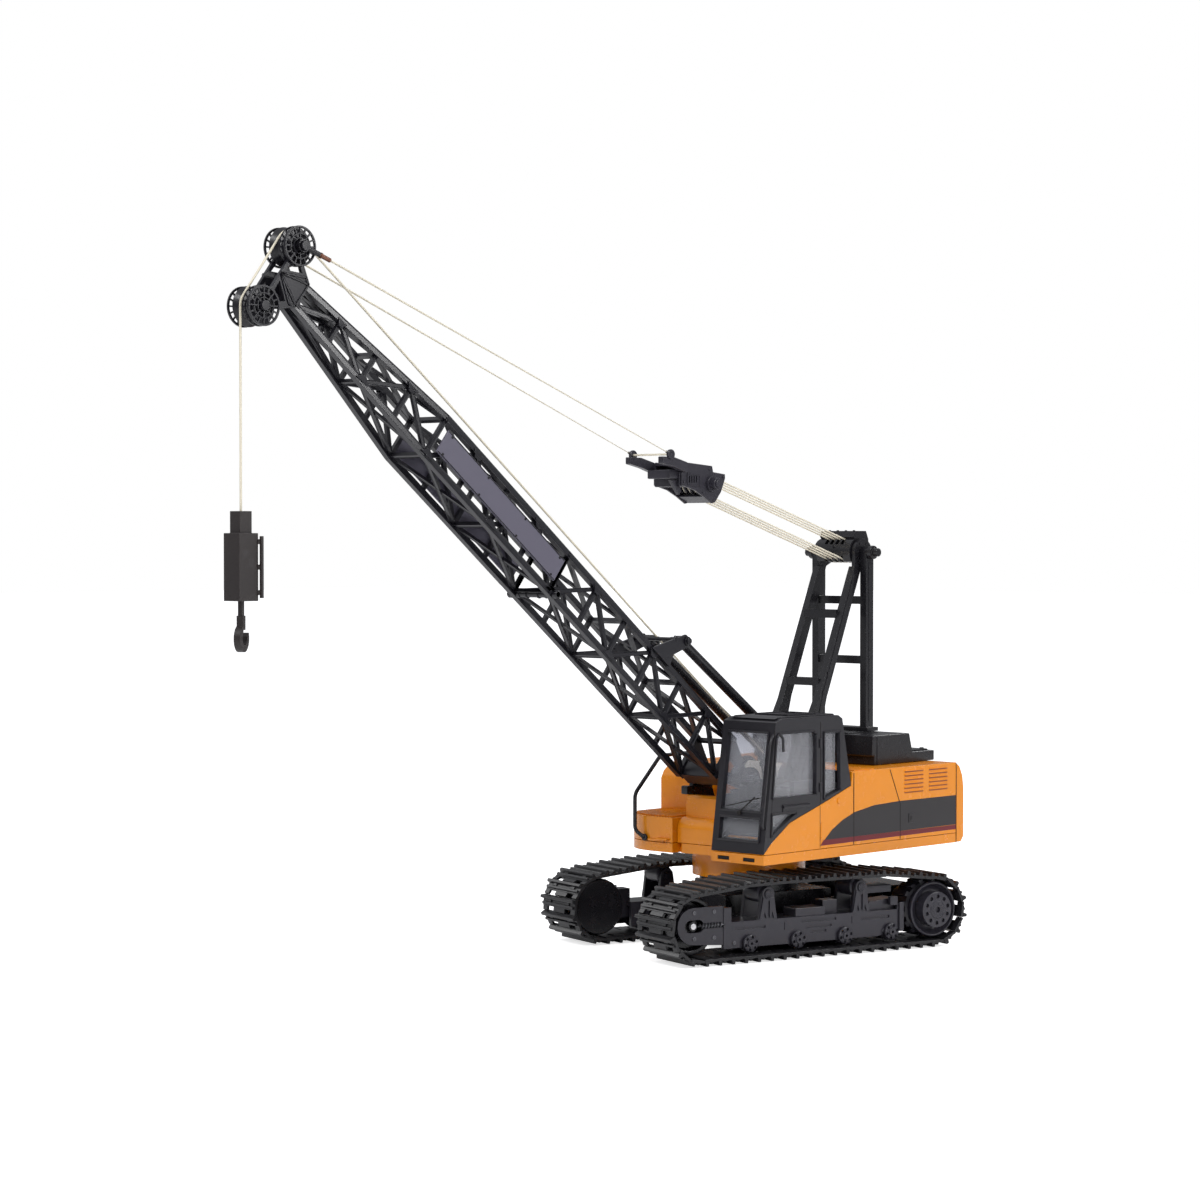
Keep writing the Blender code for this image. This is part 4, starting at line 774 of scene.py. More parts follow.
            screws.take(head.without(cross).mesh)
        self.mirrored(screws, mirror)
        shop.finish(screws, f"side_frame_{side}_screws", under, "undercarriage", Finish.DULL, slot="steel")
        spring, turns, steps = Shape(), 8, 10
        helix = [(x + 0.2 + 1.9 * math.cos(math.tau * k / steps), -96 + 20.5 * k / (turns * steps),
                  self.wheel_z + 1.9 * math.sin(math.tau * k / steps)) for k in range(turns * steps + 1)]
        spring.pipe(helix[::2], 0.55, 6)
        spring.rod((x, -97, self.wheel_z), (x, -74.6, self.wheel_z), 0.7)
        self.mirrored(spring, mirror)
        shop.finish(spring, f"tension_spring_{side}", under, "undercarriage", Finish.DULL, slot="steel")
        # a polished steel disc at the idler's axle: it stands in for the backdrop light seen through the axle
        # hole
        pin = Shape().disc(Axis.X, (0, self.idler_y, self.wheel_z), 2.3, x - 6, x + 0.3, 20, 0.3)
        self.mirrored(pin, mirror)
        shop.finish(pin, f"idler_hole_light_disc_{side}", under, "undercarriage", Finish.STEEL, slot="steel")

    def mirrored(self, shape: Shape, mirror: Matrix) -> Shape:
        """Puts a left-hand shape on its side, its faces still pointing out."""
        bmesh.ops.transform(shape.mesh, matrix=mirror, verts=shape.mesh.verts)
        if mirror.determinant() < 0:
            bmesh.ops.reverse_faces(shape.mesh, faces=shape.mesh.faces)
        return shape

    def hub(self, radius: float, low: float, high: float, holes: int) -> Shape:
        """Makes a hub's face about the X axis, with bolt holes round a centre hole."""
        profile = [(low, radius * 0.9), (low + 0.4, radius), (high - 0.5, radius), (high, radius - 0.6),
                   (high, radius * 0.52), (high + 0.7, radius * 0.46), (high + 0.7, radius * 0.3)]
        face = Shape().lathe(Axis.X, (0, 0, 0), profile, 28)
        tools = Shape().disc(Axis.X, (0, 0, 0), radius * 0.17, high - 1.2, high + 2, 14, 0)
        wide = 0.19 if holes < 8 else 0.12
        for y, z in ring_of((0, 0), radius * 0.74, holes, 15):
            tools.disc(Axis.X, (0, y, z), radius * wide, high - 1.6, high + 2, 12, 0)
        return face.without(tools)

    def wheels(self, side: str, mirror: Matrix) -> None:
        """Makes one side's rollers, carriers, idler and sprocket."""
        under, shop = self.shop.frames.under, self.shop
        tread = [(55, 2.2), (59.4, 2.2), (59.4, 5.6), (60, 6.5), (66, 6.5), (67, 4.6), (69.6, 4.6),
                 (70.6, 6.5), (76.6, 6.5), (77.2, 5.6), (77.2, 2.2), (82, 2.2)]
        roller = Shape().lathe(Axis.X, (0, 0, 0), tread, 28)
        roller.take(self.hub(6.2, 81.0, 83.6, 6).mesh)
        for k, y in enumerate(self.roller_ys):
            copy = Shape().copy_of(roller, mirror @ Matrix.Translation((0, y, self.roller_z)))
            shop.finish(copy, f"roller_{side}_{k + 1}_wheel", under, f"roller_{side}_{k + 1}", Finish.GREY,
                        [f"roller_{side}_{k + 1}"])
        roller.mesh.free()
        tread = [(55, 2.2), (59.4, 2.2), (59.4, 6), (60.4, 7), (76.2, 7), (77.2, 6), (77.2, 2.2), (82, 2.2)]
        carrier = Shape().lathe(Axis.X, (0, 0, 0), tread, 28)
        carrier.disc(Axis.X, (0, 0, 0), 3.4, self.plate_x + 1.0, 82.6, 20, 0.3)
        for y, z in ring_of((0, 0), 2.1, 8):
            carrier.rod((82.4, y * 0.45, z * 0.45), (82.7, y * 1.35, z * 1.35), 0.33, 6)
        for k, y in enumerate(self.carrier_ys):
            copy = Shape().copy_of(carrier, mirror @ Matrix.Translation((0, y, self.carrier_z)))
            shop.finish(copy, f"carrier_{side}_{k + 1}_wheel", under, f"carrier_{side}_{k + 1}", Finish.GREY,
                        [f"carrier_roller_{side}_{k + 1}"])
        carrier.mesh.free()
        shop.refine(f"idler_wheel_{side}", Finish.DARK, 0.5)
        place = mirror @ Matrix.Translation((0, self.sprocket_y, self.wheel_z))
        bowl = [(54, 3.2), (54, 17), (60, 17.4), (62, 21.2), (76, 21.2), (78, 17.6), (83.6, 18),
                (84.4, 20.4), (85.9, 20.4), (86.4, 19.6), (86.2, 18.8), (82.4, 16.8), (81.4, 15),
                (81, 13.4)]
        wheel = Shape().lathe(Axis.X, (0, 0, 0), bowl, 48)
        notches = Shape()
        for a in range(16):
            turn = Matrix.Rotation(math.tau * a / 16, 4, "X")
            notches.box((61, -2.1, 18.9), (77, 2.1, 24), 0.0, turn)
        wheel.without(notches)
        wheel.take(self.hub(13.2, 80.6, 91.4, 10).mesh)
        for y, z in ring_of((0, 0), 1, 18):
            wheel.rod((91.9, y * 3.4, z * 3.4), (91.9, y * 5.9, z * 5.9), 0.45, 6)
        shop.finish(Shape().copy_of(wheel, place), f"sprocket_{side}_wheel", under, f"sprocket_{side}",
                    Finish.GREY, [f"sprocket_{side}"])
        wheel.mesh.free()


# ------------------------------------------------------------------ superstructure

@dataclass
class Body:
    """The orange body, its markings, grilles, rail and engine cover."""

    shop: Workshop
    side_x: float = 83.5
    front_y: float = -80.8
    rear_y: float = 146.0
    top_z: float = 131.3

    def put(self, shape: Shape, name: str, finish: Finish, slot: str) -> None:
        """Finishes a shape of the superstructure."""
        self.shop.finish(shape, name, self.shop.frames.upper, "superstructure", finish, slot=slot)

    def build(self) -> None:
        """Makes the body's pieces."""
        for node, edge in (("deck_frame", 0.5), ("hood", 0.9), ("counterweight", 1.2), ("side_box", 0.8)):
            self.shop.refine(node, Finish.ORANGE, edge, 3)
        self.shop.refine("engine_cover", Finish.DARK, 0.8, 3)
        for node, finish in (("battery_pack", Finish.BLUE), ("control_board", Finish.GREEN),
                             ("slew_motor", Finish.DULL), ("boom_foot_pin", Finish.STEEL),
                             ("slew_pinion", Finish.BRASS), ("hoist_winch", Finish.DARK)):
            self.shop.refine(node, finish, 0.3)
        self.markings()
        self.seams()
        self.grilles()
        self.fittings()

    def markings(self) -> None:
        """Lays the charcoal panel with its curved upper edge and the red line under it, on both sides."""
        outlines = {
            "left": [(-13, 83.4), (-4, 90.4), (8, 96.6), (22, 101.4), (45, 105), (76, 106.2), (145, 106.2),
                     (145, 83.8)],
            "right": [(8, 83.8), (14, 96), (30, 103.6), (76, 106.2), (145, 106.2), (145, 83.8)],
        }
        for side, sign in SIDES.items():
            panel, line = Shape(), Shape()
            x0, x1 = span(sign, self.side_x - 0.05, self.side_x + 0.18)
            panel.prism(Axis.X, outlines[side], x0, x1, 0.05)
            start = -17.4 if sign > 0 else 7
            line.prism(Axis.X, [(start, 79.6), (start + 3.6, 83.5), (145, 83.5), (145, 80.2)], x0, x1, 0.05)
            self.put(panel, f"side_panel_{side}", Finish.DECAL, "dark_plastic")
            self.put(line, f"side_line_{side}", Finish.RED, "orange_plastic")

    def seams(self) -> None:
        """Lays the thin dark lines where the body's mouldings meet, and the hinge and latch marks."""
        seams, x = Shape(), self.side_x
        for sign in (1, -1):
            x0, x1 = span(sign, x - 0.2, x + 0.24)
            for y0, y1 in ((21, 21), (76.2, 64)):
                seams.prism(Axis.X, [(y0 - 0.3, 77.6), (y0 + 0.3, 77.6), (y0 + 0.3, 104), (y1 + 0.3, 130.2),
                                     (y1 - 0.3, 130.2), (y0 - 0.3, 104)], x0, x1, 0)
            near, far = self.rear_y - 0.7, self.rear_y - 0.2
            seams.prism(Axis.X, [(near, 70.2), (far, 70.2), (far, 130.8), (near, 130.8)], x0, x1, 0)
        seams.prism(Axis.X, [(-18, 78), (-17.6, 78), (-17.6, 108.6), (-18, 108.6)], x - 0.2, x + 0.12, 0)
        for corner in (40, 64):
            seams.box((corner + 0.4, self.front_y - 0.1, 72.1),
                      (corner + 10.6, self.front_y + 1.4, 74.3), 0.2)
        self.put(seams, "body_seams", Finish.SEAM, "dark_plastic")
        tags = Shape()
        tags.disc(Axis.X, (0, 3.4, 111), 2.1, x - 1, x + 0.9, 24, 0.6)
        tags.box((x - 0.2, -17, 84), (x + 0.35, -13.6, 96.5), 0.15)
        tags.box((-46, -62.2, 77.6), (-30, -60.4, 79.4), 0.3).box((-36, -64, 78.8), (-25, -60.6, 80.4), 0.4)
        self.put(tags, "body_bosses", Finish.ORANGE, "orange_plastic")
        latch = Shape().box((x, 86.4, 89), (x + 0.6, 93.4, 96), 0.25)
        latch.box((x, 88.6, 91), (x + 1.1, 91.2, 94), 0.3)
        self.put(latch, "side_latch", Finish.DECAL, "dark_plastic")

    def grilles(self) -> None:
        """Makes the side louvres, the top grille behind the cab and the side box's grille."""
        # the slot strips are a darker orange sheet laid on the surface: painted shade in the louvre and
        # grille openings
        slots, lips = Shape(), Shape()
        for sign in (1, -1):
            for column in range(2):
                for row in range(6):
                    y, z = 82 + column * 30, 111.5 + row * 3.1
                    low, high = span(sign, self.side_x - 0.3, self.side_x + 0.12)
                    slots.prism(Axis.X, [(y, z), (y + 22, z), (y + 22.8, z + 0.5), (y + 22, z + 1),
                                         (y, z + 1), (y - 0.8, z + 0.5)], low, high, 0)
                    low, high = span(sign, self.side_x - 0.1, self.side_x + 0.55)
                    lips.prism(Axis.X, [(y - 0.6, z + 1.0), (y + 22.6, z + 1.0), (y + 22.2, z + 1.9),
                                        (y - 0.2, z + 1.9)], low, high, 0.2)
        for k in range(13):
            slots.box((38 + k * 3.4, 24, self.top_z - 0.3), (39.5 + k * 3.4, 46, self.top_z + 0.12), 0)
            lips.box((39.7 + k * 3.4, 23, self.top_z - 0.2), (41.2 + k * 3.4, 47, self.top_z + 0.9), 0.3)
        for k in range(17):
            x = -74 + k * 2.9
            reach = -59.5 if x > -43.5 else -21 - math.sqrt(max(0.0, 38.5 ** 2 - (x + 43.5) ** 2))
            lips.box((x, reach + 1.2, 95.4), (x + 1.5, -9, 97.0), 0.3)
        self.put(slots, "louvre_slot_shade", Finish.GROOVE, "orange_plastic")
        self.put(lips, "louvre_lips", Finish.ORANGE, "orange_plastic")

    def fittings(self) -> None:
        """Makes the handrail, the engine cover's joints and vents, and the motor pods on the deck."""
        x = -57.0
        rail = Shape().pipe([(x + 8, -62.2, 79.8), (x, -64, 84.6), (x, -64, 112), (x, -36, 139),
                             (x, 5, 139.6), (x, 9, 136), (x, 9, self.top_z + 0.2)], 1.5, 14)
        rail.disc(Axis.Y, (x + 8, 0, 79.8), 2.6, -62.8, -61.3, 18, 0.4)
        rail.disc(Axis.Z, (x, 9, 0), 2.6, self.top_z + 0.1, self.top_z + 1.6, 18, 0.4)
        self.shop.finish(rail, "grab_rail", self.shop.frames.upper, "superstructure", Finish.DARK,
                         ["handrail"])
        cover = Shape()
        for sign in (1, -1):
            cover.prism(Axis.X, [(78, 132), (79.2, 132), (79.2, 153.2), (78, 153.2)],
                        *span(sign, 59.9, 60.4), 0.15)
        for x0, x1 in ((20.9, 33.4), (-27.2, -20.9)):
            cover.box((x0, -45.8, 112.3), (x1, -39.4, 118.6), 0.8)
        for x0, x1 in ((23.15, 27.05), (-27.05, -23.15)):
            pin_ear = [(-38.4, 99)] + arc((-27.7, 124.9), 8.9, 190, 20, 14) + [(-12, 108.4), (-8, 99)]
            cover.prism(Axis.X, pin_ear, x0, x1, 0.3)
        for k in range(9):
            cover.box((-34 + k * 8, 76, 153.6), (-30 + k * 8, 96, 154.9), 0.5)
        cover.box((-56, 124, 139.2), (56, 146, 140.6), 0.6)
        for sx in (-52, 52):
            for y in (126.5, 143.5):
                cover.disc(Axis.Z, (sx, y, 0), 1.7, 140.2, 141.4, 16, 0.3)
        self.put(cover, "body_dark_trim", Finish.DARK, "dark_plastic")


@dataclass
class Cab:
    """The operator's cab."""

    shop: Workshop
    inner_x: float = 34.0
    outer_x: float = 83.5

    def put(self, shape: Shape, name: str, finish: Finish, slot: str = "dark_plastic") -> None:
        """Finishes a shape of the cab."""
        self.shop.finish(shape, name, self.shop.frames.upper, "superstructure", finish, slot=slot)

    def build(self) -> None:
        """Makes the shell, glazing, seat, controls, wiper and rails."""
        self.shop.refine("cab_shell", Finish.CAB, 1.2, 3)
        self.shop.refine("cab_glass", Finish.GLASS, 0.4)
        self.frames()
        self.front()
        self.seat()

    def rim(self, shape: Shape, axis: Axis, outline: Sequence[Point], width: float, low: float,
            high: float) -> None:
        """Adds a closed raised rim along an outline, made of one bar for each side of it."""
        for a, b in zip(outline, list(outline[1:]) + [outline[0]]):
            middle = (low + high) / 2
            start, end = axis.place(*a, middle), axis.place(*b, middle)
            shape.beam(start, end, axis.place(0, 0, 1), width, high - low)
            shape.disc(axis, axis.place(*a, 0), width / 2, low, high, 12, 0.1)

    def frames(self) -> None:
        """Makes the door's and windows' raised rims, the handle, hinges and roof hatch on the outer side."""
        trim, x = Shape(), self.outer_x
        door = [(-71.2, 116.8), (-22.2, 116.8), (-22.2, 161.4), (-25.6, 163.2), (-64.4, 163.2),
                (-66.8, 160.6)]
        quarter = [(-13.6, 113), (5.4, 118.8), (4.4, 161.8), (-13.6, 161.8)]
        lower = [(-72.3, 90), (-44.8, 104.6), (-45.4, 105.8), (-71.8, 105.8)]
        for outline in (door, quarter, lower):
            self.rim(trim, Axis.X, outline, 1.3, x - 0.3, x + 0.8)
        trim.box((x - 0.3, -60, 109.4), (x + 1.7, -30.5, 111.4), 0.5)
        trim.box((x - 0.3, -60, 107), (x + 0.6, -55, 112.4), 0.3)
        for z in (122, 154):
            trim.disc(Axis.Z, (x + 0.2, -17.8, 0), 1.2, z - 3.4, z + 3.4, 12, 0.3)
        roof = [(-64, 173.2), (3, 173.2), (3, 174.6), (-60, 174.6)]
        trim.prism(Axis.X, roof, self.inner_x + 4, x - 4, 0.6)
        self.put(trim, "cab_rims", Finish.CAB)
        hatch = Shape()
        self.rim(hatch, Axis.Z, [(44, -43), (74, -43), (74, -13), (44, -13)], 2.0, 173.4, 175.6)
        for k in range(4):
            hatch.box((49 + k * 6, -38, 174.2), (51 + k * 6, -18, 175.2), 0.3)
        self.put(hatch, "roof_hatch", Finish.CAB)
        seams = Shape()
        for outline in ([(-17.6, 110.4), (-17.1, 110.4), (-17.1, 169.6), (-17.6, 169.6)],
                        [(-73.2, 89), (-72.8, 89), (-68.2, 165.6), (-68.6, 165.6)]):
            seams.prism(Axis.X, outline, x - 0.2, x + 0.12, 0)
        self.put(seams, "cab_seams", Finish.SEAM)

    def lean(self, z: float) -> float:
        """Gives the front face's y at a height."""
        return -80.8 + (z - 77) * 13.3 / 94

    def front(self) -> None:
        """Makes the front windows' rims, the cross bar, wiper and grab tube."""
        trim = Shape()
        for z0, z1 in ((107.2, 163.8), (86.2, 102.8)):
            for z in (z0, z1):
                trim.beam((39.4, self.lean(z) - 0.2, z), (78.1, self.lean(z) - 0.2, z), (0, -1, 0), 1.5, 1.4)
            for x in (39.4, 78.1):
                trim.beam((x, self.lean(z0) - 0.2, z0), (x, self.lean(z1) - 0.2, z1), (0, -1, 0), 1.5, 1.4)
        bends = [(81.6, 96, -0.6, 96), (82.2, 97, -3.0, 98), (82.4, 130, -3.2, 130), (82.4, 156, -3.0, 156),
                 (82.2, 163, -1.0, 162), (82.6, 163, 5, 163.4), (83.6, 163, 9, 160), (84.0, 163, 9, 150)]
        trim.pipe([(x, self.lean(face) + off, z) for x, face, off, z in bends], 1.05, 12)
        self.put(trim, "cab_front_rims", Finish.CAB)
        wiper = Shape().rod((58, self.lean(109) - 1.2, 106), (58, self.lean(109) - 2.2, 106), 1.6)
        wiper.beam((58, self.lean(110) - 1.9, 106.4), (72, self.lean(116) - 1.5, 118), (0, -1, 0), 0.8, 0.6)
        wiper.beam((45, self.lean(109) - 1.2, 110), (76, self.lean(119) - 1.1, 117.6), (0, -1, 0), 0.7, 0.9)
        self.put(wiper, "wiper", Finish.SEAM)

    def seat(self) -> None:
        """Makes the seat's cushions with sewn channels, its arms and levers."""
        self.shop.refine("cab_seat", Finish.SEAT, 1.0, 3)
        pads = Shape()
        for k in range(4):
            pads.box((48 + k * 5.6, -39.4, 120.6), (53.2 + k * 5.6, -16, 122.8), 1.0)
            z0 = Matrix.Translation((0, -10.4, 137)) @ Matrix.Rotation(math.radians(-20), 4, "X")
            pads.box((48 + k * 5.6, -3.6, -13), (53.2 + k * 5.6, -1.2, 12.4), 1.0, z0)
        self.put(pads, "seat_pads", Finish.SEAT, "seat_plastic")
        levers = Shape()
        for x in (44.8, 73.2):
            levers.rod((x, -35, 126), (x, -37, 137), 0.7).ball((x, -37.2, 138), 1.8, (1, 1, 1.3))
        levers.box((45.4, -61.4, 123.4), (51.4, -52, 126.4), 0.8)
        self.put(levers, "levers", Finish.SEAM)


# ------------------------------------------------------------------ mast, boom and ropes

@dataclass
class Mast:
    """The two mast frames, the rope casing and the struts."""

    shop: Workshop

    def build(self) -> None:
        """Makes the mast's pieces."""
        for node, edge in (("mast_front_frame", 0.6), ("mast_rear_frame", 0.7), ("mast_head_casing", 0.5)):
            self.shop.refine(node, Finish.DARK, edge)
        self.shop.refine("luffing_drum", Finish.DARK, 0.35)
        trim = Shape()
        y, z = MAST_SHAFT
        for sign in (1, -1):
            for z0, y0 in ((186, 63), (243, 86.5), (200, 68.6), (270, 98)):
                low, high = span(sign, 20.1, 20.9)
                trim.disc(Axis.X, (0, y0, z0), 1.2, low, high, 14, 0.2)
            for height in (170, 209, 255, 280):
                low, high = span(sign, 26.6, 27.4)
                trim.disc(Axis.X, (0, y, height), 1.2, low, high, 14, 0.2)
            low, high = span(sign, 26.7, 27.1)
            trim.box((low, y - 1.6, 162), (high, y + 1.6, 284), 0.15)
            leg = [(59.6, 168), (65, 184), (102, 276), (99.6, 276), (62.6, 186), (57.4, 170)]
            trim.take(Shape().prism(Axis.X, leg, *span(sign, 20.2, 20.7), 0.1).mesh)
            for k in range(6):
                a = math.tau * k / 6
                trim.disc(Axis.X, (0, y + 7.6 * math.cos(a), z + 7.6 * math.sin(a)), 0.9,
                          *span(sign, 20.2, 20.8), 12, 0.15)
        for x in (-12, -4, 4, 12):
            trim.disc(Axis.Z, (x, y - 1, 0), 1.0, 308.1, 308.9, 12, 0.2)
        trim.disc(Axis.Y, (0, 0, 296), 0.9, 98.2, 99.2, 12, 0.2)
        self.shop.finish(trim, "mast_ribs", self.shop.frames.upper, "superstructure", Finish.DARK,
                         slot="dark_plastic")
        for side in SIDES:
            self.shop.refine(f"backstop_tube_{side}", Finish.DARK, 0.4)
            self.shop.refine(f"backstop_rod_{side}", Finish.DULL, 0.2)


@dataclass
class Boom:
    """The lattice boom with its sign plates, pins and head."""

    shop: Workshop
    bay: float = 36.9
    tip_bay: float = 34.4
    foot_bays: float = 6.69
    half: float = 19.75
    depth: float = 18.06
    chord: float = 4.4
    strut: float = 3.0
    tip: tuple[float, float, float] = (7.2, 11.8, -7.8)

    def station(self, k: float) -> float:
        """Gives the distance from the foot pin to a lattice node."""
        return (self.foot_bays + min(k, 4)) * self.bay + max(0, k - 4) * self.tip_bay

    def section(self, k: float) -> tuple[float, float, float]:
        """Gives half the width, the top and the bottom at a node."""
        share = max(0.0, (k - 4) / 4)
        return (self.half + (self.tip[0] - self.half) * share,
                self.depth + (self.tip[1] - self.depth) * share,
                -self.depth + (self.tip[2] + self.depth) * share)

    def corner(self, k: float, x: int, z: int, sink: float = 0.0) -> Vector:
        """Gives a chord's middle at a node; x and z are -1 or 1 and sink moves it inwards."""
        half, top, low = self.section(k)
        inset = self.chord / 2 + sink
        return Vector((x * (half - inset), -self.station(k), top - inset if z > 0 else low + inset))

    def lattice(self, first: int, last: int) -> Shape:
        """Makes the chords, struts and diagonals between two nodes."""
        frame = Shape()
        breaks = [first] + [k for k in (4,) if first < k < last] + [last]
        for x in (1, -1):
            for z in (1, -1):
                for a, b in zip(breaks, breaks[1:]):
                    frame.beam(self.corner(a, x, z), self.corner(b, x, z), (x, 0, 0), self.chord,
                               self.chord, 0.7)
            side = (x, 0, 0)
            for k in range(first, last + 1):
                frame.beam(self.corner(k, x, -1, 0.6), self.corner(k, x, 1, 0.6), side, self.strut, 3.0, 0.6)
            for k in range(first, last):
                low, high = (k, k + 1) if k % 2 == 0 else (k + 1, k)
                foot, top = self.corner(low, x, -1, 0.7), self.corner(high, x, 1, 0.7)
                frame.beam(foot, top, side, self.strut, 2.6, 0.6)
        for z in (1, -1):
            up = (0, 0, z)
            for k in range(first, last + 1, 2):
                frame.beam(self.corner(k, -1, z, 0.6), self.corner(k, 1, z, 0.6), up, self.strut, 3.0, 0.6)
            for k in range(first, last, 2):
                for x, sink, thick, channel in ((-1, 0.8, 2.4, 0.5), (1, 1.0, 2.0, 0.4)):
                    near, far = self.corner(k, x, z, sink), self.corner(k + 2, -x, z, sink)
                    frame.beam(near, far, up, self.strut, thick, channel)
        return frame

    def gussets(self, frame: Shape, first: int, last: int) -> None:
        """Adds the small plates and rivet heads where bars meet the chords."""
        for k in range(first, last + 1):
            for x in (1, -1):
                z = -1 if k % 2 == 0 else 1
                middle = self.corner(k, x, z)
                wide = 6.2 if self.section(k)[0] > 12 else 4.2
                y, height = middle.y, middle.z
                low, high = sorted((middle.x + x * 0.9, middle.x + x * 2.1))
                frame.prism(Axis.X, [(y - wide, height), (y + wide, height), (y + 1.6, height - z * 4.6),
                                     (y - 1.6, height - z * 4.6)], low, high, 0.2)

    def build(self) -> None:
        """Makes the two sections, signs, pin, head and sheaves."""
        shop, boom = self.shop, self.shop.frames.boom
        lower = self.lattice(-6, 0)
        self.gussets(lower, -6, 0)
        self.foot(lower)
        shop.finish(lower, "lower_lattice", boom, "boom", Finish.BOOM, ["boom_lower_section"])
        upper = self.lattice(0, 8)
        self.gussets(upper, 0, 8)
        for x in (1, -1):
            for k in (0, 4):
                for z in (1, -1):
                    spot = self.corner(k, x, z)
                    ends = sorted((spot.x + x * 1.6, spot.x + x * 2.8))
                    upper.disc(Axis.X, (0, spot.y, spot.z), 1.3, *ends, 14, 0.2)
        shop.finish(upper, "upper_lattice", boom, "boom", Finish.BOOM, ["boom_upper_section"])
        shop.refine("boom_joint_pin", Finish.DARK, 0.3)
        self.signs()
        self.head()

    def foot(self, frame: Shape) -> None:
        """Adds the foot cheeks, the bulkhead and the strut and rope brackets."""
        end = self.station(-6)
        cheek = [(-end - 3, self.depth), (-end - 3, -self.depth), (-end + 2, -16)]
        cheek += arc((0, 0), 8.2, -60, 120, 16)
        for x in (self.half - self.chord, -self.half):
            plate = Shape().prism(Axis.X, cheek, x, x + self.chord, 0.5)
            hole = Shape().disc(Axis.X, (0, 0, 0), 3.1, x - 5, x + 10, 24, 0)
            hole.prism(Axis.X, [(-22, 4), (-22, -8), (-12, -4), (-12, 3)], x - 5, x + 10, 0)
            frame.take(plate.without(hole).mesh)
        frame.box((-self.half + 1, -end - 1.6, -self.depth + 1),
                  (self.half - 1, -end + 1.2, -self.depth + 13), 0.4)
        frame.box((-self.half + 1, -22, -15.4), (self.half - 1, -13, -9), 0.6)
        node = -self.station(-3)
        (hy, hz), (gy, gz) = self.shop.frames.in_boom(*STRUT_PIN), self.shop.frames.in_boom(-104.2, 230.0)
        strut = [(node - 6, self.depth - 3), (node + 9, self.depth - 3), (hy + 3.4, hz - 3),
                 (hy + 3.4, hz + 3.4), (hy - 3.4, hz + 3.4)]
        guide = [(gy - 3, self.depth - 3), (gy + 6, self.depth - 3), (gy + 2.4, gz + 2), (gy - 2.4, gz + 2)]
        for outline, trim in ((strut, 0.0), (guide, 0.2)):
            for x in (self.half - 0.4, -self.half - 2.0):
                frame.prism(Axis.X, outline, x + trim, x + 2.4 - trim, 0.4)
        for (y, z), radius in (((hy, hz), 1.9), ((gy, gz), 1.5)):
            frame.disc(Axis.X, (0, y, z), radius, -self.half - 2.4, self.half + 2.4, 20, 0.3)

    def signs(self) -> None:
        """Makes the plain sign plate of each side, on small studs."""
        for side, x in SIDES.items():
            near, far = -self.station(0.1), -self.station(3.9)
            plate = Shape().prism(Axis.X, [(near, 9), (far, 9), (far, -9), (near, -9)],
                                  *span(x, 20.15, 21.55), 0.35)
            border = Shape()
            replaces = ["boom_sign"] if side == "left" else []
            self.shop.finish(plate, f"sign_{side}", self.shop.frames.boom, "boom", Finish.SIGN, replaces,
                             "sign_plastic")
            for k in (0.25, 1.4, 2.6, 3.75):
                for z in (7.2, -7.2):
                    border.disc(Axis.X, (0, -self.station(k), z), 0.9, *span(x, 21.4, 22.0), 14, 0.2)
            for z in (8.3, -8.3):
                low, high = span(x, 21.4, 21.8)
                border.box((low, -self.station(3.88), z - 0.35), (high, -self.station(0.12), z + 0.35), 0.1)
            self.shop.finish(border, f"sign_{side}_studs", self.shop.frames.boom, "boom", Finish.DARK,
                             slot="dark_plastic")

    def head(self) -> None:
        """Makes the head, its sheaves and ribs, and the harness."""
        self.shop.refine("boom_head", Finish.BOOM, 0.4)
        self.sheave("upper_sheave", UPPER_SHEAVE, 16.4)
        self.sheave("lower_sheave", LOWER_SHEAVE, 12.6)
        self.head_ribs()
        self.harness()

    def sheave(self, node: str, centre: tuple[float, float], end: float) -> None:
        """Makes one sheave: grooved flanges and two open wheels of rings and spokes on a nutted shaft."""
        middle = (0, *centre)
        groove = [(-5.4, 3), (-5.4, 12.4), (-5, 13), (-4.6, 13), (-1.4, 9.8), (1.4, 9.8), (4.6, 13), (5, 13),
                  (5.4, 12.4), (5.4, 3)]
        wheel = Shape().lathe(Axis.X, middle, groove, 40)
        wheel.disc(Axis.X, middle, 2.4, 0.6 - end, end - 0.6, 18, 0.3)
        for x in (1, -1):
            for low, high in ((11.6, 13.0), (7.5, 8.4), (4.7, 5.5)):
                ring = [(9.4, low), (10.6, low), (10.8, low + 0.2), (10.8, high - 0.2), (10.5, high),
                        (9.2, high), (9.4, low)]
                wheel.lathe(Axis.X, middle, [(x * along, r) for along, r in ring], 40)
            for k in range(16):
                a = math.tau * k / 16
                start, stop = (3.2, 12) if k % 2 == 0 else (8, 12)
                spots = [(x * 10.0, centre[0] + r * math.cos(a), centre[1] + r * math.sin(a))
                         for r in (start, stop)]
                wheel.beam(*spots, (x, 0, 0), 0.95, 1.2)
            for low, high, radius in ((9.2, 11.6, 3.5), (end - 1.4, end, 3.3), (11.6, end - 1.0, 2.6)):
                wheel.disc(Axis.X, middle, radius, *span(x, low, high), 18, 0.3)
        self.shop.finish(wheel, f"{node}_wheels", self.shop.frames.upper, node, Finish.BOOM, [node])

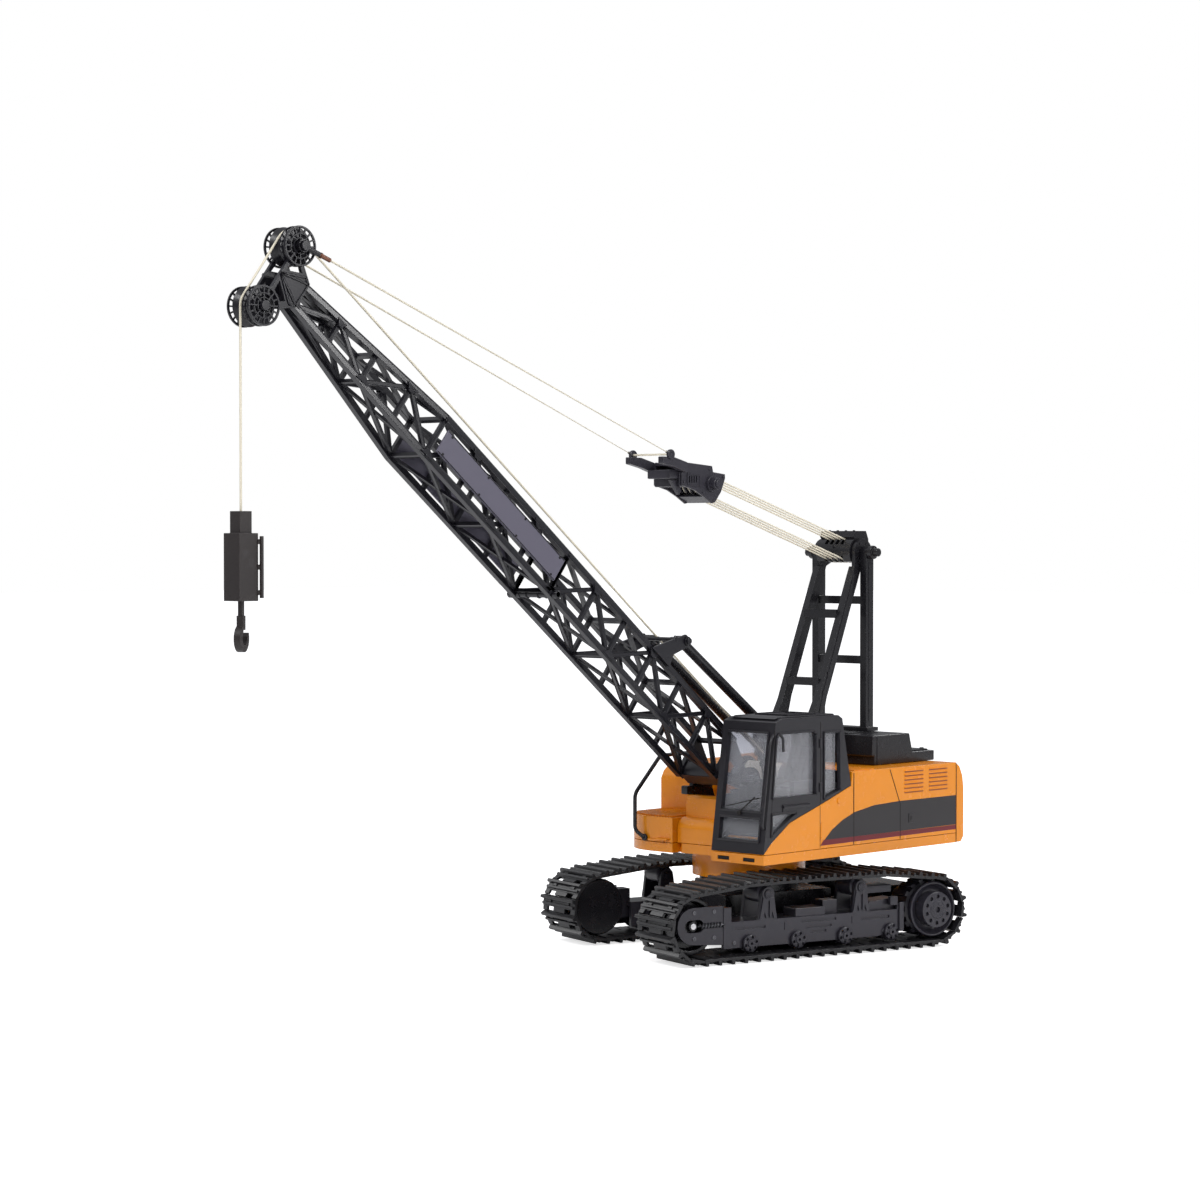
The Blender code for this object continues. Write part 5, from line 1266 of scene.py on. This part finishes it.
    def head_ribs(self) -> None:
        """Lays raised ribs on both cheeks of the head, and the joint pin's collars under the chords."""
        corners = ((-462.4, 470.4), (-441.5, 468.5), (-455.5, 450.5), UPPER_SHEAVE, LOWER_SHEAVE)
        spots = [self.shop.frames.in_boom(*p) for p in corners]
        middle, back, low, upper, lower = spots
        start = -self.station(8) - 1.2
        top, foot = (start, self.tip[1] - 1), (start, self.tip[2] + 1)
        pairs = [(middle, back), (back, top), (top, foot), (foot, middle), (foot, low), (low, middle),
                 (middle, top)]
        ribs = Shape()
        for x in (1, -1):
            for a, b in pairs:
                ribs.beam((x * 8.9, *a), (x * 8.9, *b), (x, 0, 0), 1.3, 1.0, 0.3)
            for centre in (upper, lower):
                ribs.disc(Axis.X, (0, *centre), 4.4, *span(x, 8.5, 9.1), 24, 0.2)
        y, z = -self.station(0) + 3.4, -self.depth + 3.0
        ribs.disc(Axis.X, (0, y, z), 2.4, -20, 20, 18, 0.2)
        for x in (1, -1):
            for low_x, high_x, radius in ((5, 6.4, 3.1), (12, 15, 3.0), (23.2, 24.0, 2.1)):
                ribs.disc(Axis.X, (0, y, z), radius, *span(x, low_x, high_x), 18, 0.3)
        hy, hz = self.shop.frames.in_boom(*STRUT_PIN)
        for x in (1, -1):
            for low_x, high_x, radius in ((6, 8, 2.8), (11.2, 12.6, 3.2), (22.0, 23.2, 3.2),
                                          (23.2, 24.6, 2.3)):
                ribs.disc(Axis.X, (0, hy, hz), radius, *span(x, low_x, high_x), 20, 0.3)
        self.shop.finish(ribs, "boom_ribs_and_collars", self.shop.frames.boom, "boom", Finish.BOOM,
                         slot="dark_plastic")

    def harness(self) -> None:
        """Makes the harness: two slotted cheeks, their arms and eyes, the box between, sheaves and hubs."""
        put = self.shop.frames.upper @ Matrix.Translation((0, *HARNESS_AXLE))
        cheek = [(-32, 14.4), (-30.5, 15.4), (1.2, 13), (2.4, 8.6), (15.5, 7.2), (15.6, 4), (11, -6),
                 (4.5, -13.6), (1, -14.4), (-8, -9.4), (-18, -4.8), (-32, -1.4)]
        rivets = ((-29.6, 12.6), (-29.6, 0.6), (-1.4, 10.6), (13.4, 5), (3, -12.2), (-9, -6.6), (-40, 14.4))
        arm = [(-57, 13.8), (-57, 18.8), (-45, 18.6), (-31, 15.2), (-31, 7.4), (-44, 11.2)]
        body = Shape()
        for x in (1, -1):
            plate = Shape().prism(Axis.X, cheek, *span(x, 12.2, 13.8), 0.3)
            slots = Shape()
            for k in range(4):
                y = -24.2 + k * 2.5
                slit = [(y, 5.6), (y + 1.3, 5.2), (y + 1.3, 0.4), (y, 0.8)]
                slots.prism(Axis.X, slit, *span(x, 10, 16), 0)
            body.take(plate.without(slots).mesh)
            frame = [(-26, 7.4), (-12.8, 6.0), (-12.8, -2.0), (-26, -0.4)]
            for a, b in zip(frame, frame[1:] + frame[:1]):
                body.beam((x * 13.9, *a), (x * 13.9, *b), (x, 0, 0), 0.7, 0.8)
            body.prism(Axis.X, arm, *span(x, 13.4, 18.6), 0.6)
            lug = Shape().disc(Axis.X, (0, -49, 20.4), 3.6, *span(x, 17.4, 19.6), 24, 0.4)
            hole = Shape().disc(Axis.X, (0, -49, 20.4), 1.6, *span(x, 14, 22), 16, 0)
            body.take(lug.without(hole).mesh)
            for low, high, radius in ((13.6, 16.2, 5.8), (16.2, 20.8, 4.3), (20.8, 21.8, 3.0)):
                body.disc(Axis.X, (0, 0, 0), radius, *span(x, low, high), 28, 0.4)
            for y, z in rivets:
                body.disc(Axis.X, (0, y, z), 1.0, *span(x, 13.6, 14.5), 12, 0.2)
        body.box((-12.4, -33, -2.6), (12.4, -15, 8.4), 0.8).box((-11, -42, 3.2), (11, -32, 9.6), 0.8)
        body.prism(Axis.X, [(-31.4, 12.6), (0, 10.8), (0.6, 12.6), (-31, 15)], -12.6, 12.6, 0.4)
        body.prism(Axis.X, [(-7, -9.4), (3.2, -14), (3.6, -12.4), (-6.4, -8)], -12.6, 12.6, 0.3)
        body.prism(Axis.X, [(-39, 2.4), (-33, 2.4), (-28, -5), (-30, -8.4), (-34, -4)], 6.5, 10, 0.5)
        for y, z in ((12.6, 4.6), (-1.4, 10.4), (3, -12.2)):
            body.rod((-12.6, y, z), (12.6, y, z), 0.9, 12)
        for edge in (-10.4, -5.2, 0, 5.2, 10.4):
            body.disc(Axis.X, (0, 0, 0), 8.8, edge - 0.8, edge + 0.8, 32, 0.3)
        body.disc(Axis.X, (0, 0, 0), 6.2, -12.6, 12.6, 28, 0.2)
        self.shop.finish(body, "harness_block", put, "boom", Finish.GREY, ["harness"])


@dataclass
class Ropes:
    """Hoist, luffing and pendant ropes, and the hook they carry."""

    shop: Workshop
    hoist_radius: float = 0.8
    on_sheave: float = 10.6
    guide: tuple[float, float] = (-102.7, 231.9)
    falls: tuple[float, ...] = (-7.8, -2.6, 2.6, 7.8)
    rope_drop: float = 448.4
    hook_top: float = 319.7

    def tube(self, points: Sequence[Point], radius: float, name: str, sides: int = 10) -> bpy.types.Object:
        """Makes a rope along points in the row frame, with no body yet."""
        curve = bpy.data.curves.new(name, "CURVE")
        curve.dimensions = "3D"
        curve.bevel_depth = radius * MM
        curve.bevel_resolution = sides // 4
        curve.use_fill_caps = True
        line = curve.splines.new("POLY")
        line.points.add(len(points) - 1)
        for slot, point in zip(line.points, points):
            slot.co = (*(self.shop.frames.upper @ Vector(point)), 1)
        holder = bpy.data.objects.new(name, curve)
        bpy.context.scene.collection.objects.link(holder)
        bpy.context.view_layer.update()
        mesh = bpy.data.meshes.new_from_object(holder.evaluated_get(bpy.context.evaluated_depsgraph_get()))
        bpy.data.objects.remove(holder)
        made = bmesh.new()
        made.from_mesh(mesh)
        bpy.data.meshes.remove(mesh)
        bmesh.ops.remove_doubles(made, verts=made.verts, dist=1e-6)
        bmesh.ops.recalc_face_normals(made, faces=made.faces)
        piece = as_object(made, name)
        Finish.ROPE.dress(piece)
        piece.data.shade_smooth()
        piece.data.set_sharp_from_angle(angle=ROPE_SMOOTH_ANGLE)
        return piece

    def tangent(self, centre: Point, radius: float, point: Point, side: int) -> float:
        """Gives the angle in degrees where a line from a point touches a circle."""
        dy, dz = point[0] - centre[0], point[1] - centre[1]
        return math.degrees(math.atan2(dz, dy) + side * math.acos(radius / math.hypot(dy, dz)))

    def build(self) -> None:
        """Makes the ropes and the hook."""
        self.hoist()
        self.luffing()
        self.pendants()
        self.hook()

    def hoist(self) -> None:
        """Makes the hoist rope: the run from the drum to the guide, and the rest, which rides on the boom."""
        drum = 9.4 + self.hoist_radius + 0.2
        start = self.tangent(WINCH_SHAFT, drum, self.guide, -1)
        leave = arc(WINCH_SHAFT, drum, start - 50, start, 6)
        run = self.tube([(0, *p) for p in leave + [self.guide]], self.hoist_radius, "hoist_rope_run")
        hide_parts("hoist_rope")
        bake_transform(run)
        contact = self.tangent(UPPER_SHEAVE, self.on_sheave, self.guide, 1)
        path = [self.guide] + arc(UPPER_SHEAVE, self.on_sheave, contact, 142.6, 10)
        path += arc(LOWER_SHEAVE, self.on_sheave, 142.6, 180, 6)
        over = self.tube([(0, *p) for p in path], self.hoist_radius, "hoist_rope_upper")
        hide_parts("hoist_rope")
        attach(over, "boom")
        y = LOWER_SHEAVE[0] - self.on_sheave
        drop = self.tube([(0, y, self.rope_drop + 0.2), (0, y, self.hook_top - 0.6)], self.hoist_radius,
                         "hook_rope_line")
        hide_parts("hook_rope")
        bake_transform(drop)
        wound = Shape()
        turns, steps, reach = 22, 14, 17.6
        coil = []
        for k in range(turns * steps + 1):
            a = math.tau * k / steps
            coil.append((-reach + 2 * reach * k / (turns * steps), WINCH_SHAFT[0] + 10.2 * math.cos(a),
                         WINCH_SHAFT[1] + 10.2 * math.sin(a)))
        wound.pipe(coil[::2], 0.72, 6)
        self.shop.finish(wound, "wound_rope", self.shop.frames.upper, "hoist_winch", Finish.ROPE,
                         slot="cream_rope")

    def luffing(self) -> None:
        """Makes the falls between the mast head and the harness."""
        (my, mz), (hy, hz) = MAST_SHAFT, HARNESS_AXLE
        slope = math.degrees(math.atan2(hz - mz, hy - my))
        points = [(self.falls[0], *p) for p in arc((my, mz), 7.6, slope - 120, slope - 90, 2)]
        for k, x in enumerate(self.falls):
            points += [(x, *p) for p in arc((hy, hz), 7.2, slope - 90, slope + 90, 8)]
            if k + 1 < len(self.falls):
                step = self.falls[k + 1] - x
                turn = arc((my, mz), 7.6, slope + 90, slope + 270, 8)
                points += [(x + step * j / 8, *p) for j, p in enumerate(turn)]
        points += [(self.falls[-1], *p) for p in arc((my, mz), 7.6, slope + 90, slope + 120, 2)]
        falls = self.tube(points, 0.66, "luffing_falls", 8)
        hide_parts("luffing_rope")
        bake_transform(falls)

    def pendants(self) -> None:
        """Makes the two pendants with their clevises, ferrules and the bridle through the harness eyes."""
        (uy, uz), (ey, ez) = UPPER_SHEAVE, (-107.5, 362.8)
        shop = self.shop
        line = self.tube([(13.6, -427, 480.6), (18.6, ey, ez), (18.6, ey - 0.4, ez), (-18.6, ey - 0.4, ez),
                          (-18.6, ey, ez), (-13.6, -427, 480.6)], 0.78, "pendant_lines")
        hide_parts("pendant_rope")
        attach(line, "boom")
        clevis, ferrule, eyes = Shape(), Shape(), Shape()
        for x in (1, -1):
            ring = Shape().disc(Axis.X, (0, uy, uz), 4.4, *span(x, 12.0, 14.4), 24, 0.4)
            hole = Shape().disc(Axis.X, (0, uy, uz), 2.8, -30, 30, 20, 0)
            clevis.take(ring.without(hole).mesh)
            clevis.rod((x * 13.2, uy + 3.6, uz - 1.3), (x * 13.5, -434.4, 483.2), 1.7, 16)
            ferrule.rod((x * 13.5, -435, 483.4), (x * 13.6, -425.6, 480.1), 1.5, 16)
            ferrule.rod((x * 13.5, -433.6, 482.9), (x * 13.5, -432.6, 482.5), 1.9, 16)
            eyes.rod((x * 18.45, ey - 4.6, ez + 1.8), (x * 18.6, ey - 1.4, ez + 0.5), 0.95, 14)
            eyes.disc(Axis.X, (0, ey, ez), 2.3, *span(x, 17.6, 19.4), 20, 0.4)
        upper = shop.frames.upper
        shop.finish(clevis, "pendant_clevises", upper, "boom", Finish.DARK, slot="dark_plastic")
        shop.finish(ferrule, "pendant_ferrules", upper, "boom", Finish.COPPER, slot="brass")
        shop.finish(eyes, "pendant_eyes", upper, "boom", Finish.GREY, slot="dark_plastic")

    def hook(self) -> None:
        """Makes the hook block with its cap and side post, and the hook."""
        self.shop.refine("hook_block", Finish.BROWN, 0.35)
        self.shop.refine("hook", Finish.BROWN, 0.5, 3)


# ------------------------------------------------------------------ studio

@dataclass
class Studio:
    """Floor, lights and camera."""

    frames: Frames
    eye: tuple[float, float, float] = (1444.0, -1673.6, 302.7)
    tilt: tuple[float, float, float] = (88.8, 0.0, 43.68)
    lens: float = 88.56
    room: float = 0.36
    backdrop: float = 1.0
    glow: float = 0.68
    lamps: dict[str, tuple[Point, Point, float, float]] = field(default_factory=lambda: {
        "key_light": ((500, -1300, 1500), (0, 0, 200), 420, 11.5),
        "fill_light": ((-1500, -500, 700), (0, 0, 200), 600, 4.5),
        "back_light": ((300, 1500, 1200), (0, 0, 200), 600, 9.0),
        "side_light": ((1700, 650, 900), (0, 0, 150), 320, 8.5),
        "rim_light": ((1500, -300, 260), (0, 0, 120), 240, 2.2),
    })

    def camera(self) -> None:
        """Places the camera."""
        data = bpy.data.cameras.new("camera")
        data.lens = self.lens
        data.clip_start, data.clip_end = 0.05, 60
        view = bpy.data.objects.new("camera", data)
        bpy.context.scene.collection.objects.link(view)
        view.location = self.frames.upper @ Vector(self.eye)
        view.rotation_euler = [math.radians(a) for a in self.tilt]
        bpy.context.scene.camera = view
        bpy.context.scene.view_settings.view_transform = "Standard"

    def light(self) -> None:
        """Places the soft lights and the pale world."""
        for name, (place, aim, size, watts) in self.lamps.items():
            data = bpy.data.lights.new(name, "AREA")
            data.shape = "SQUARE"
            data.size = size * MM
            data.energy = watts
            lamp = bpy.data.objects.new(name, data)
            bpy.context.scene.collection.objects.link(lamp)
            lamp.location = self.frames.upper @ Vector(place)
            toward = self.frames.upper @ Vector(aim) - lamp.location
            lamp.rotation_euler = toward.to_track_quat("-Z", "Y").to_euler()
        world = bpy.data.worlds.new("pale_room")
        world.use_nodes = True
        make = Nodes(world.node_tree)
        room = world.node_tree.nodes["Background"]
        seen = make.new("Background", Color=(1, 1, 1, 1), Strength=self.backdrop)
        room.inputs["Color"].default_value = (0.95, 0.96, 1, 1)
        height = make.new("SeparateXYZ", Vector=make.new("TexCoord").outputs["Generated"]).outputs["Z"]
        make.set(room, "Strength", make.spread(height, 0.0, 0.9, self.room * 0.35, self.room * 2.2))
        choice = world.node_tree.nodes.new("ShaderNodeMixShader")
        make.set(choice, 0, make.new("LightPath").outputs["Is Camera Ray"])
        make.set(choice, 1, room.outputs[0])
        make.set(choice, 2, seen.outputs[0])
        make.set(world.node_tree.nodes["World Output"], "Surface", choice.outputs[0])
        bpy.context.scene.world = world

    def floor(self) -> None:
        """Lays the plain pale floor."""
        mesh = bmesh.new()
        bmesh.ops.create_grid(mesh, x_segments=1, y_segments=1, size=12,
                              matrix=Matrix.Translation((0, 0, -0.0006)))
        sheet = as_object(mesh, "floor")
        pale = bpy.data.materials.new("pale_floor")
        pale.use_nodes = True
        shader = pale.node_tree.nodes["Principled BSDF"]
        shader.inputs["Base Color"].default_value = (0.9, 0.9, 0.9, 1)
        shader.inputs["Roughness"].default_value = 0.7
        shader.inputs["Emission Color"].default_value = (1, 1, 1, 1)
        make = Nodes(pale.node_tree)
        lit = make.new("LightPath").outputs["Is Camera Ray"]
        make.set(shader, "Emission Strength", make.spread(lit, 0, 1, 0, self.glow))
        sheet.data.materials.append(pale)


def main() -> None:
    """Builds the crane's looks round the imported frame."""
    logging.basicConfig(level=logging.INFO, format="%(name)s: %(message)s")
    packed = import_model()
    slots = {entry["node"]: entry["material_slot"] for entry in packed["record"]["subparts"]}
    frames = Frames()
    shop = Workshop(frames, packed["nodes"], slots)
    studio = Studio(frames)
    studio.camera()
    steps: list[Callable[[], None]] = [Ropes(shop).build, Undercarriage(shop).build, Body(shop).build,
                                       Cab(shop).build, Mast(shop).build, Boom(shop).build, studio.light,
                                       studio.floor]
    for step in steps:
        step()


if __name__ == "__main__":
    main()
